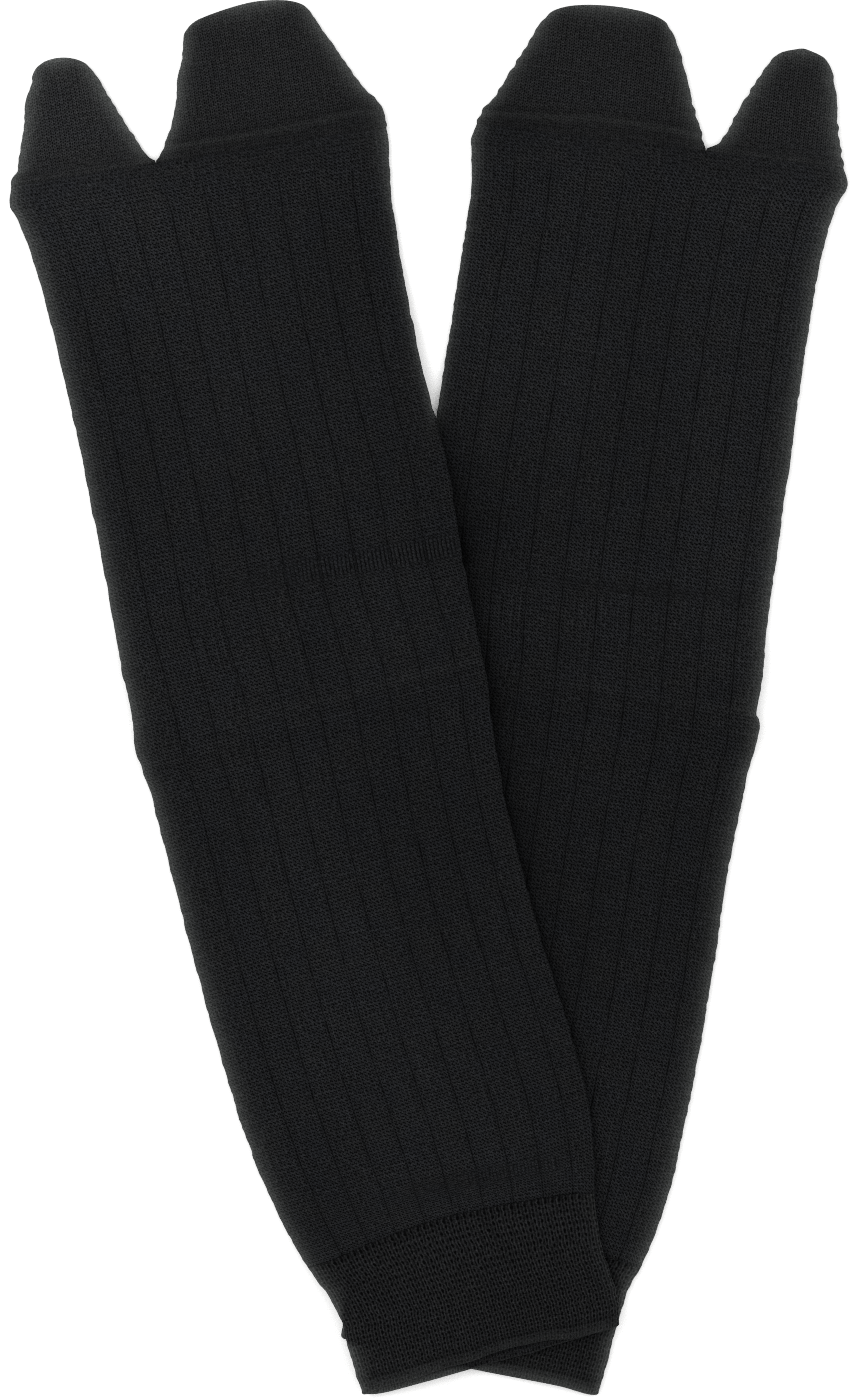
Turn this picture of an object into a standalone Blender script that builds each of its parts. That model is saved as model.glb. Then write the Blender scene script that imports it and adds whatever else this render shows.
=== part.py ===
"""A pair of fine knitted split-toe wool socks, laid flat and crossed, one lying on the other.

Sizes are in millimetres and become metres when a mesh is made. +Z is up, +Y runs from the cuffs
to the toes, and the lower sock rests on the plane z = 0. A place on a sock is given by `along`,
measured up its middle line from the hem, and `across`, measured to the right of that line.
"""

import math
from collections import namedtuple

import bpy
import numpy as np

METRES = 0.001
MIDDLE_X = 0.65               # puts the middle of the pair over the origin
MIDDLE_Y = -0.2

# The cloth
WALL = 1.4                    # one layer of knitted wool
HOLLOW = 0.4                  # what is left open between the two flattened layers
THICK = 2 * WALL + HOLLOW     # a sock lying flat
FOLD = THICK / 2              # radius of the fold down each side
SEAM_GAP = 0.3                # between pieces that are joined, and between cloth lying on cloth
WOOL_COLOUR = (0.03, 0.031, 0.033)
WOOL_ROUGHNESS = 0.9

# The sunken lines that part the broad ribs
RIBS = 10                     # on each face
LINE_DEPTH = 0.4
LINE_HALF = 1.2               # half the width of one line
SHOULDER_DEPTH = 0.1          # where the rounded rib meets the line
RIBS_STOP = 8.0               # below the toe line
RIBS_FADE = 4.0

# The toe seams and the hem
SEAM_RAISE = 0.5              # height of the linked ridge above the cloth
SEAM_HALF = 1.1
HEM_ROLL = 0.35               # how far the hem's rolled edge stands up
HEM_ROLL_WIDE = 3.6
HEM_SLIP = 1.8                # the back layer of the hem shows this far below the front one
HEM_REACH = 14.0

# The heel pocket, folded flat behind the sole
HEEL_THICK = 1.8
HEEL_LAYER_NOTCH = 0.35       # between its two layers, all round its edge
HEEL_GAP = 0.45               # below the sock that lies on it
HEEL_MARGIN = 4.5             # the sock above keeps its full rise this far past the heel
HEEL_FALL = 8.0               # and comes down again over this

# How the upper sock comes down off the lower one
DRAPE_MARGIN = 2.5
DRAPE_FALL = 24.0
DRAPE_HEEL_MARGIN = 8.0
DRAPE_HEEL_FALL = 16.0

# The middle of each sock and half its flat width. `lean` is how far the line across it turns.
Lay = namedtuple("Lay", "along x y half lean")
OVER_LAY = (
    Lay(0.0, 19.0, -206.2, 41.3, 15.8),      # hem
    Lay(6.7, 18.1, -199.8, 42.2, 15.0),
    Lay(13.6, 16.2, -193.2, 42.3, 14.0),
    Lay(21.8, 13.9, -185.4, 42.1, 13.3),
    Lay(28.7, 11.6, -178.8, 42.7, 13.3),
    Lay(36.3, 8.8, -171.6, 44.5, 14.0),
    Lay(41.4, 7.0, -166.6, 46.0, 14.2),      # cuff seam
    Lay(53.5, 3.6, -155.0, 49.2, 14.5),
    Lay(63.5, 0.9, -145.3, 51.0, 15.0),
    Lay(78.1, -3.4, -131.4, 52.7, 15.0),
    Lay(97.6, -9.3, -112.8, 53.2, 15.0),
    Lay(130.0, -18.6, -81.7, 52.9, 15.0),    # calf
    Lay(162.2, -26.7, -50.6, 53.0, 14.5),
    Lay(194.2, -33.7, -19.4, 54.3, 14.5),
    Lay(204.0, -35.8, -9.8, 55.6, 14.2),
    Lay(211.6, -37.4, -2.4, 55.6, 14.0),     # heel line
    Lay(244.8, -43.6, 30.2, 55.3, 12.5),
    Lay(276.6, -49.1, 61.6, 55.6, 12.0),     # instep
    Lay(308.8, -56.3, 92.9, 54.7, 12.0),
    Lay(337.4, -62.3, 120.9, 55.1, 11.5),    # ball of the foot
    Lay(361.4, -67.3, 144.4, 56.4, 10.5),
    Lay(375.8, -70.7, 158.3, 58.2, 9.5),
    Lay(381.5, -71.4, 163.9, 59.7, 9.2),
    Lay(386.5, -72.2, 169.0, 59.2, 9.0),     # toe line
)
UNDER_LAY = (
    Lay(0.0, 12.3, -208.6, 40.9, -12.6),     # hem
    Lay(10.0, 14.5, -198.8, 41.6, -12.4),
    Lay(20.0, 16.5, -188.7, 42.1, -12.2),
    Lay(30.5, 18.5, -178.6, 43.1, -12.1),
    Lay(36.0, 19.4, -173.4, 44.4, -12.0),
    Lay(40.8, 20.4, -168.6, 46.0, -12.0),    # cuff seam
    Lay(52.9, 22.2, -156.7, 49.2, -11.2),
    Lay(62.9, 23.8, -146.8, 51.0, -11.0),
    Lay(77.5, 25.6, -132.3, 52.7, -10.9),
    Lay(97.0, 29.2, -113.1, 53.2, -10.8),
    Lay(129.4, 35.2, -81.3, 52.9, -10.6),    # calf
    Lay(161.6, 39.9, -49.4, 53.0, -10.4),
    Lay(193.6, 44.8, -17.8, 54.3, -10.2),
    Lay(203.5, 46.2, -8.0, 55.7, -9.6),
    Lay(211.0, 47.2, -0.6, 55.3, -9.1),      # heel line
    Lay(244.2, 50.6, 32.4, 55.3, -8.5),
    Lay(276.0, 54.7, 64.0, 55.6, -8.3),      # instep
    Lay(308.2, 59.4, 95.8, 55.3, -8.2),
    Lay(336.8, 63.6, 124.1, 55.1, -8.0),     # ball of the foot
    Lay(360.8, 67.6, 147.8, 55.5, -7.6),
    Lay(375.2, 70.3, 161.9, 57.4, -7.3),
    Lay(380.6, 71.2, 167.2, 58.8, -7.1),
    Lay(385.9, 72.2, 172.4, 57.6, -7.0),     # toe line
)

# Both edges of each toe pocket, measured from the middle of the toe line
Toe = namedtuple("Toe", "beyond left right")
OVER_BIG_TOE = (
    Toe(0.15, -59.2, -13.6),
    Toe(1.2, -59.2, -14.5),
    Toe(2.4, -58.4, -15.6),
    Toe(4.4, -56.5, -16.8),
    Toe(9.0, -55.0, -18.9),
    Toe(15.0, -53.0, -21.4),
    Toe(21.0, -51.5, -24.1),
    Toe(27.0, -49.6, -26.4),
    Toe(31.0, -47.8, -28.2),
    Toe(33.8, -46.4, -30.3),
    Toe(35.6, -44.4, -32.8),
    Toe(36.7, -42.0, -35.4),
)
OVER_FOUR_TOES = (
    Toe(0.15, -13.2, 59.2),
    Toe(2.2, -11.6, 59.4),
    Toe(4.5, -10.2, 59.3),
    Toe(5.6, -9.6, 59.1),
    Toe(6.7, -9.0, 58.7),
    Toe(9.0, -7.6, 57.4),
    Toe(13.0, -6.0, 54.6),
    Toe(19.0, -4.3, 51.2),
    Toe(26.0, -2.2, 47.9),
    Toe(32.0, 0.0, 44.9),
    Toe(37.5, 1.5, 42.4),
    Toe(40.4, 3.2, 40.8),
    Toe(42.4, 7.0, 38.8),
    Toe(43.8, 13.0, 35.6),
    Toe(44.7, 18.5, 31.5),
)
UNDER_FOUR_TOES = (
    Toe(0.15, -57.6, 14.0),
    Toe(2.2, -57.3, 13.1),
    Toe(4.4, -56.4, 12.5),
    Toe(5.5, -55.8, 12.1),
    Toe(6.6, -55.0, 11.7),
    Toe(9.0, -53.2, 10.6),
    Toe(13.0, -51.2, 8.8),
    Toe(19.0, -48.5, 6.5),
    Toe(26.0, -45.2, 3.7),
    Toe(31.0, -43.0, 1.4),
    Toe(35.2, -40.7, -0.9),
    Toe(37.8, -38.0, -2.9),
    Toe(39.6, -33.4, -5.6),
    Toe(40.7, -28.0, -9.4),
)
UNDER_BIG_TOE = (
    Toe(0.15, 14.4, 57.6),
    Toe(1.2, 15.4, 57.3),
    Toe(2.4, 17.1, 56.7),
    Toe(4.4, 19.0, 56.3),
    Toe(9.0, 21.0, 55.0),
    Toe(15.0, 23.4, 53.7),
    Toe(21.0, 26.1, 52.6),
    Toe(27.0, 29.0, 50.9),
    Toe(31.0, 31.4, 49.5),
    Toe(33.2, 33.5, 47.7),
    Toe(34.5, 36.0, 45.2),
    Toe(35.2, 38.4, 42.8),
)

# Half the width of the folded heel pocket, by its share of the way from the heel line to the toes
Heel = namedtuple("Heel", "share half")
HEEL_OUTLINE = (
    Heel(0.0, 46.0),
    Heel(0.03, 50.0),
    Heel(0.1, 52.5),
    Heel(0.2, 52.6),
    Heel(0.42, 51.6),
    Heel(0.55, 49.8),
    Heel(0.68, 47.2),
    Heel(0.82, 43.2),
    Heel(0.92, 39.5),
    Heel(0.98, 35.5),
    Heel(1.0, 32.0),
)
HEEL_WIDEST = 0.2

# `rib_shift` moves the sunken lines across, in shares of the width: at the foot, then in the leg
Sock = namedtuple("Sock", "name lay cuff heel_line heel_reach foot_shift leg_shift")
OVER = Sock("over", OVER_LAY, 41.4, 211.6, 44.0, 0.0, 0.025)
UNDER = Sock("under", UNDER_LAY, 40.8, 214.0, 33.0, 0.015, 0.02)


def smooth_column(knots, values, at):
    """A monotone cubic through one column of a table, held level past both ends."""
    knots = np.asarray(knots, float)
    values = np.asarray(values, float)
    steps = np.diff(knots)
    rises = np.diff(values) / steps
    before, after = rises[:-1], rises[1:]
    total = before + after
    safe = np.where(total == 0, 1.0, total)
    slopes = np.concatenate((
        rises[:1],
        np.where(before * after > 0, 2 * before * after / safe, 0.0),
        rises[-1:],
    ))
    at = np.clip(at, knots[0], knots[-1])
    k = np.clip(np.searchsorted(knots, at, side="right") - 1, 0, len(steps) - 1)
    t = (at - knots[k]) / steps[k]
    return (
        values[k] * (1 + 2 * t) * (1 - t) ** 2
        + values[k + 1] * t * t * (3 - 2 * t)
        + steps[k] * t * (1 - t) * (slopes[k] * (1 - t) - slopes[k + 1] * t)
    )


def lay_column(lay, column, along):
    knots = [row.along for row in lay]
    values = [getattr(row, column) for row in lay]
    return smooth_column(knots, values, along)


def soft_step(t):
    """0 below 0, 1 above 1, and smooth between."""
    t = np.clip(t, 0.0, 1.0)
    return t * t * (3 - 2 * t)


def sock_point(lay, along, across):
    """Where a place on the sock lies on the table. Past its ends the sock's frame runs straight on."""
    held = np.clip(along, lay[0].along, lay[-1].along)
    past = along - held
    lean = np.radians(lay_column(lay, "lean", held))
    x = lay_column(lay, "x", held) - past * np.sin(lean) + across * np.cos(lean)
    y = lay_column(lay, "y", held) + past * np.cos(lean) + across * np.sin(lean)
    return x + MIDDLE_X, y + MIDDLE_Y


def place_on(lay, x, y):
    """The place on the sock's frame above which a point of the table lies."""
    along = np.full(np.shape(x), lay[len(lay) // 2].along)
    for _ in range(12):
        middle_x, middle_y = sock_point(lay, along, 0.0)
        lean = np.radians(lay_column(lay, "lean", along))
        along = along - (x - middle_x) * np.sin(lean) + (y - middle_y) * np.cos(lean)
    middle_x, middle_y = sock_point(lay, along, 0.0)
    lean = np.radians(lay_column(lay, "lean", along))
    across = (x - middle_x) * np.cos(lean) + (y - middle_y) * np.sin(lean)
    return along, across


def heel_half(share):
    return smooth_column([row.share for row in HEEL_OUTLINE], [row.half for row in HEEL_OUTLINE], share)


def heel_rise(sock, along, across, margin, fall):
    """How far the folded heel lifts cloth that lies over it, counting its first corners as full."""
    beyond = along - sock.heel_line
    side = np.abs(across) - heel_half(np.maximum(beyond / sock.heel_reach, HEEL_WIDEST))
    end = np.maximum(-beyond, beyond - sock.heel_reach)
    outside = np.hypot(np.maximum(side, 0), np.maximum(end, 0))
    return (HEEL_THICK + HEEL_GAP) * (1 - soft_step((outside - margin) / fall))


def table_height(sock, x, y):
    """What the sock lies on: the table, or for the upper sock the lower one where they cross."""
    if sock is UNDER:
        return np.zeros(np.shape(x))
    along, across = place_on(UNDER_LAY, x, y)
    side = np.abs(across) - lay_column(UNDER_LAY, "half", along)
    outside = np.hypot(np.maximum(side, 0), np.maximum(-along - HEM_SLIP / 2, 0))
    drape = 1 - soft_step((outside - DRAPE_MARGIN) / DRAPE_FALL)
    heel = heel_rise(UNDER, along, across, DRAPE_HEEL_MARGIN, DRAPE_HEEL_FALL)
    hem = HEM_ROLL * (1 - soft_step((along - HEM_ROLL_WIDE) / HEM_REACH))
    return (THICK + SEAM_GAP + heel + hem) * drape


def set_down(sock, along, across, up, on_heel=True):
    """The points of one ring, in space."""
    x, y = sock_point(sock.lay, along, across)
    z = table_height(sock, x, y) + up
    if on_heel:
        z = z + heel_rise(sock, along, across, HEEL_MARGIN, HEEL_FALL)
    return np.column_stack((x, y, z))


def rib_lines(sock, along, left, right):
    """The top of a ribbed ring, left to right: how far across each point is, and how far it sinks."""
    leg = soft_step((sock.heel_line + sock.heel_reach - along) / sock.heel_reach)
    shift = sock.foot_shift + (sock.leg_shift - sock.foot_shift) * leg
    toe_line = sock.lay[-1].along
    depth = LINE_DEPTH * soft_step((toe_line - RIBS_STOP - along) / RIBS_FADE)
    shoulder = depth * SHOULDER_DEPTH / LINE_DEPTH
    across, sunk = [left + FOLD], [0.0]
    for rib in range(1, RIBS):
        crown = left + (right - left) * ((rib - 0.5) / RIBS + shift)
        line = left + (right - left) * (rib / RIBS + shift)
        across += [crown, line - LINE_HALF, line, line + LINE_HALF]
        sunk += [0.0, shoulder, depth, shoulder]
    across.append(right - FOLD)
    sunk.append(0.0)
    return np.array(across), np.array(sunk)


def outer_ring(left, right, bottom_count, top_across, top_up, squash=1.0):
    """Flat below, folded round at both sides, and given point by point on top: (across, up)."""
    below = np.linspace(left + FOLD, right - FOLD, bottom_count)
    turn = np.radians((-45.0, 0.0, 45.0))
    fold_across = FOLD * np.cos(turn)
    fold_up = FOLD + FOLD * np.sin(turn)
    across = np.concatenate((
        below,
        right - FOLD + fold_across,
        top_across[::-1],
        left + FOLD - fold_across[::-1],
    ))
    up = np.concatenate((np.zeros(bottom_count), fold_up, top_up[::-1], fold_up[::-1]))
    return across, FOLD + (up - FOLD) * squash


def inner_ring(left, right, count):
    """The narrow hollow between the layers: (across, up)."""
    ends = WALL + HOLLOW / 2
    row = np.linspace(left + WALL + HOLLOW, right - WALL - HOLLOW, count)
    across = np.concatenate((row, [right - WALL], row[::-1], [left + WALL]))
    up = np.concatenate((
        np.full(count, WALL), [ends], np.full(count, WALL + HOLLOW), [ends],
    ))
    return across, up


def corners(ring_across, ring_up, flat_low, flat_high):
    """Runs from 0 to 4 round a ring, so that two rings with different counts can be joined."""
    left, right = ring_across.min(), ring_across.max()
    share = (ring_across - left) / (right - left)
    low = ring_up <= flat_low
    high = ring_up >= flat_high
    side = np.where(share > 0.5, 1.5, 3.5)
    return np.where(low, share, np.where(high, 3 - share, side))


class Solid:
    """Points and faces gathered ring by ring."""

    def __init__(self):
        self.points = []
        self.faces = []

    def add_ring(self, points):
        first = len(self.points)
        self.points.extend(map(tuple, points))
        return list(range(first, len(self.points)))

    def loft(self, first, second):
        """Faces between two rings with the same count."""
        count = len(first)
        for k in range(count):
            after = (k + 1) % count
            self.faces.append((first[k], second[k], second[after], first[after]))

    def close(self, ring, row, to_toes):
        """Closes a ring whose first `row` points lie under its top ones, facing the toes or the hem."""
        folds = (len(ring) - 2 * row) // 2
        low = ring[:row]
        high = ring[row + folds : 2 * row + folds][::-1]
        right = ring[row : row + folds]
        left = ring[2 * row + folds :]
        faces = [(low[k], low[k + 1], high[k + 1], high[k]) for k in range(row - 1)]
        faces.append((low[-1], *right, high[-1]))
        faces.append((high[0], *left, low[0]))
        self.faces.extend(face[::-1] if to_toes else face for face in faces)

    def rim(self, outer, outer_turn, inner, inner_turn, to_toes):
        """The cut edge between an outer ring and an inner one, whichever counts they have."""
        i = j = 0
        while i < len(outer) or j < len(inner):
            next_outer = outer_turn[i + 1] if i + 1 < len(outer) else 4 + outer_turn[0]
            next_inner = inner_turn[j + 1] if j + 1 < len(inner) else 4 + inner_turn[0]
            a, b = outer[i % len(outer)], inner[j % len(inner)]
            if j >= len(inner) or (i < len(outer) and next_outer <= next_inner):
                face = (a, b, outer[(i + 1) % len(outer)])
                i += 1
            else:
                face = (a, b, inner[(j + 1) % len(inner)])
                j += 1
            self.faces.append(face if to_toes else face[::-1])

    def build(self, name):
        mesh = bpy.data.meshes.new(name)
        mesh.from_pydata([[METRES * c for c in p] for p in self.points], [], self.faces)
        mesh.validate()
        mesh.update()
        mesh.materials.append(wool_material(f"{name}_wool"))
        thing = bpy.data.objects.new(name, mesh)
        bpy.context.collection.objects.link(thing)


def wool_material(name):
    material = bpy.data.materials.new(name)
    material.use_nodes = True
    shader = material.node_tree.nodes["Principled BSDF"]
    shader.inputs["Base Color"].default_value = (*WOOL_COLOUR, 1.0)
    shader.inputs["Roughness"].default_value = WOOL_ROUGHNESS
    shader.inputs["Metallic"].default_value = 0.0
    return material


def ring_turn(ring, low, high):
    turn = corners(*ring, low, high)
    for k in range(1, len(turn)):
        turn[k] = max(turn[k], turn[k - 1])
    return turn


def tube(name, sock, sections, bottom_count, inner_count, top_of, slip_of):
    """A flattened tube, open at both ends. `top_of` gives the top points of a section."""
    solid = Solid()
    outers, inners = [], []
    for along in sections:
        half = float(lay_column(sock.lay, "half", along))
        top_across, sunk = top_of(along, -half, half)
        outer = outer_ring(-half, half, bottom_count, top_across, THICK - sunk)
        inner = inner_ring(-half, half, inner_count)
        for rings, ring in ((outers, outer), (inners, inner)):
            across, up = ring
            slipped = along + slip_of(along) * (up / THICK - 0.5)
            points = set_down(sock, slipped, across, up)
            rings.append((solid.add_ring(points), ring_turn(ring, WALL, WALL + HOLLOW)))
    for before, after in zip(outers[:-1], outers[1:]):
        solid.loft(before[0], after[0])
    for before, after in zip(inners[:-1], inners[1:]):
        solid.loft(after[0], before[0])
    solid.rim(*outers[0], *inners[0], to_toes=False)
    solid.rim(*outers[-1], *inners[-1], to_toes=True)
    solid.build(name)


def leg_and_foot(sock, leg_steps, foot_steps, bottom_count, inner_count):
    """One ribbed tube in two lengths, leg and foot, that meet on the heel line.

    Sections lie at steps up from the cuff, close together at the heel, and at steps below the toes.
    """
    heel, reach = sock.heel_line, sock.heel_reach
    toe_line = sock.lay[-1].along
    leg = [sock.cuff + step for step in (SEAM_GAP / 2, 5, 12, 22, *leg_steps)]
    leg += [heel + step for step in (-13, -9, -5, -SEAM_GAP / 2)]
    foot = [heel + step for step in (SEAM_GAP / 2, 8)]
    foot += [heel + reach * share for share in (0.42, 0.68)]
    foot += [heel + reach + step for step in (-2, 4, 8, 13)]
    foot += [toe_line - step for step in (*foot_steps, 19, 12.5, RIBS_STOP, 4.5, SEAM_GAP / 2)]

    def top_of(along, left, right):
        return rib_lines(sock, along, left, right)

    for part, sections in (("leg", leg), ("foot", foot)):
        tube(f"{sock.name}_{part}", sock, sections, bottom_count, inner_count, top_of,
             lambda along: 0.0)


def cuff(sock, top_count, inner_count):
    sections = (0.4, 1.2, 2.4, 4.0, 9.0, 15.0, 22.0, 29.0, 35.5, sock.cuff - SEAM_GAP / 2)

    def top_of(along, left, right):
        row = np.linspace(left + FOLD, right - FOLD, top_count)
        roll = HEM_ROLL * math.sin(math.pi * min(along / HEM_ROLL_WIDE, 1.0))
        return row, np.full(top_count, -roll)

    def slip_of(along):
        return HEM_SLIP * float(soft_step(1 - along / HEM_REACH))

    tube(f"{sock.name}_cuff", sock, sections, top_count, inner_count, top_of, slip_of)


def toe_pocket(name, sock, outline, seam, count, inner_count):
    """A flat bag that opens where it joins the foot and is folded round its tip."""
    solid = Solid()
    toe_line = sock.lay[-1].along
    tip = outline[-1].beyond
    outers, inners = [], []
    for row in outline:
        to_tip = tip - row.beyond
        squash = math.cos(math.radians(72.0) * max(0.0, 1 - to_tip / FOLD))
        top_across = np.linspace(row.left + FOLD, row.right - FOLD, count)
        raised = SEAM_RAISE * max(0.0, 1 - abs(row.beyond - seam) / SEAM_HALF)
        across, up = outer_ring(
            row.left, row.right, count, top_across, np.full(count, THICK + raised), squash
        )
        points = set_down(sock, toe_line + row.beyond, across, up)
        turn = ring_turn((across, up), WALL, WALL + HOLLOW)
        outers.append((solid.add_ring(points), turn))
    for row in outline:
        if row.beyond > tip - WALL - FOLD:
            break
        across, up = inner_ring(row.left, row.right, inner_count)
        points = set_down(sock, toe_line + row.beyond, across, up)
        turn = ring_turn((across, up), WALL, WALL + HOLLOW)
        inners.append((solid.add_ring(points), turn))
    for before, after in zip(outers[:-1], outers[1:]):
        solid.loft(before[0], after[0])
    for before, after in zip(inners[:-1], inners[1:]):
        solid.loft(after[0], before[0])
    solid.rim(*outers[0], *inners[0], to_toes=False)
    solid.close(outers[-1][0], count, to_toes=True)
    solid.close(inners[-1][0], inner_count, to_toes=False)
    solid.build(name)


def heel_pocket(sock, count):
    """The heel's two layers folded flat behind the sole, as one solid with a line round its edge."""
    solid = Solid()
    edge = 0.7
    notch_up = HEEL_THICK * np.array((0.25, 0.5, 0.75))
    notch_in = np.array((0.0, HEEL_LAYER_NOTCH, 0.0))
    rings = []
    for row in HEEL_OUTLINE:
        level = np.linspace(-row.half + edge, row.half - edge, count)
        across = np.concatenate((
            level, row.half - notch_in, level[::-1], notch_in - row.half,
        ))
        up = np.concatenate((
            np.zeros(count), notch_up, np.full(count, HEEL_THICK), notch_up[::-1],
        ))
        along = sock.heel_line + row.share * sock.heel_reach
        points = set_down(sock, np.full(len(across), along), across, up, on_heel=False)
        rings.append(solid.add_ring(points))
    for before, after in zip(rings[:-1], rings[1:]):
        solid.loft(before, after)
    solid.close(rings[0], count, to_toes=False)
    solid.close(rings[-1], count, to_toes=True)
    solid.build(f"{sock.name}_heel")


def clear_scene():
    for thing in list(bpy.data.objects):
        bpy.data.objects.remove(thing, do_unlink=True)


def main():
    clear_scene()
    leg_and_foot(OVER, (36, 52, 70, 88, 106, 124, 142), (99, 77, 52, 30), 22, 18)
    leg_and_foot(UNDER, (42, 66, 92, 118, 144), (96, 60, 34), 15, 10)
    cuff(OVER, top_count=18, inner_count=14)
    cuff(UNDER, top_count=14, inner_count=8)
    toe_pocket("over_big_toe", OVER, OVER_BIG_TOE, seam=1.2, count=8, inner_count=5)
    toe_pocket("over_four_toes", OVER, OVER_FOUR_TOES, seam=5.6, count=13, inner_count=7)
    toe_pocket("under_big_toe", UNDER, UNDER_BIG_TOE, seam=1.2, count=8, inner_count=5)
    toe_pocket("under_four_toes", UNDER, UNDER_FOUR_TOES, seam=5.5, count=13, inner_count=7)
    heel_pocket(OVER, count=22)
    heel_pocket(UNDER, count=12)


main()
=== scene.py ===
# A pair of fine ribbed wool socks with separate big toes, laid flat and crossed at the cuffs.
# Lengths are in millimetres. +Y runs from the cuffs to the toes, and the table is at z = 0.
# A place on a sock is `along`, up its middle line from the hem, and `across`, to the right of it.
import math

import bpy
import numpy as np
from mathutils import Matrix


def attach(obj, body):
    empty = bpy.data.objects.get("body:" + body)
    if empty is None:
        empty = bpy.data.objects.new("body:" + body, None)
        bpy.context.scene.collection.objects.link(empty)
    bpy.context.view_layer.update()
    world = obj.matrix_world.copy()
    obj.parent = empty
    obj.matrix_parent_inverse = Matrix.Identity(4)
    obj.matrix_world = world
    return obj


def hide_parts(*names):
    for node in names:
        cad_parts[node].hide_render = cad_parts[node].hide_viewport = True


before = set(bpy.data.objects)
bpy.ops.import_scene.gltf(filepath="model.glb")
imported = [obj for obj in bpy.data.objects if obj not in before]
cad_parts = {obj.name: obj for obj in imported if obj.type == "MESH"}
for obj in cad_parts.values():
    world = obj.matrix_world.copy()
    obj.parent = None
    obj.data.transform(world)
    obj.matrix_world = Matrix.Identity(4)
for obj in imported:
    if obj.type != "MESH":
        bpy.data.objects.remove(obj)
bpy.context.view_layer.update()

metres = 0.001
middleX, middleY = 0.65, -0.2      # puts the middle of the pair over the origin

cloth = {
    "wall": 1.4,            # one layer of knitted wool
    "hollow": 0.4,          # between the two flattened layers
    "hollowEnd": 1.5,       # over which the hollow closes at a fold
    "thick": 3.2,           # a sock lying flat
    "layGap": 0.3,          # between cloth lying on cloth
    "foldHigh": 4.4,        # how far in from its edge the front face turns down
    "foldLow": 1.6,         # and the back face turns up
    "foldRoom": 2.4,        # a section narrower than this many folds has smaller ones
    "pastFold": 0.3,        # from a fold to the first point of the flat face
    "swell": 0.22,          # gentle unevenness of cloth that was laid by hand
    "creaseEnd": 0.16,      # the share of a crease over which it fades out
    "joinSink": 0.2,        # the groove along the cuff's join
    "joinWide": 1.0,
    "joinReach": 20.0,      # how far from the join the rows still bow with it
    "edgeOut": 0.22,        # how far fluff and rolled stitches carry the folded edges outward
    "edgeWander": 0.13,     # how far the folded edges stray
    "edgeFuzz": 0.13,       # and in short steps
    "edgeApart": 400.0,     # reads each edge's waves at a place of its own
}

courses = {"body": 1.15, "toe": 0.97, "cuff": 1.58}      # height of one row of stitches

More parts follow.
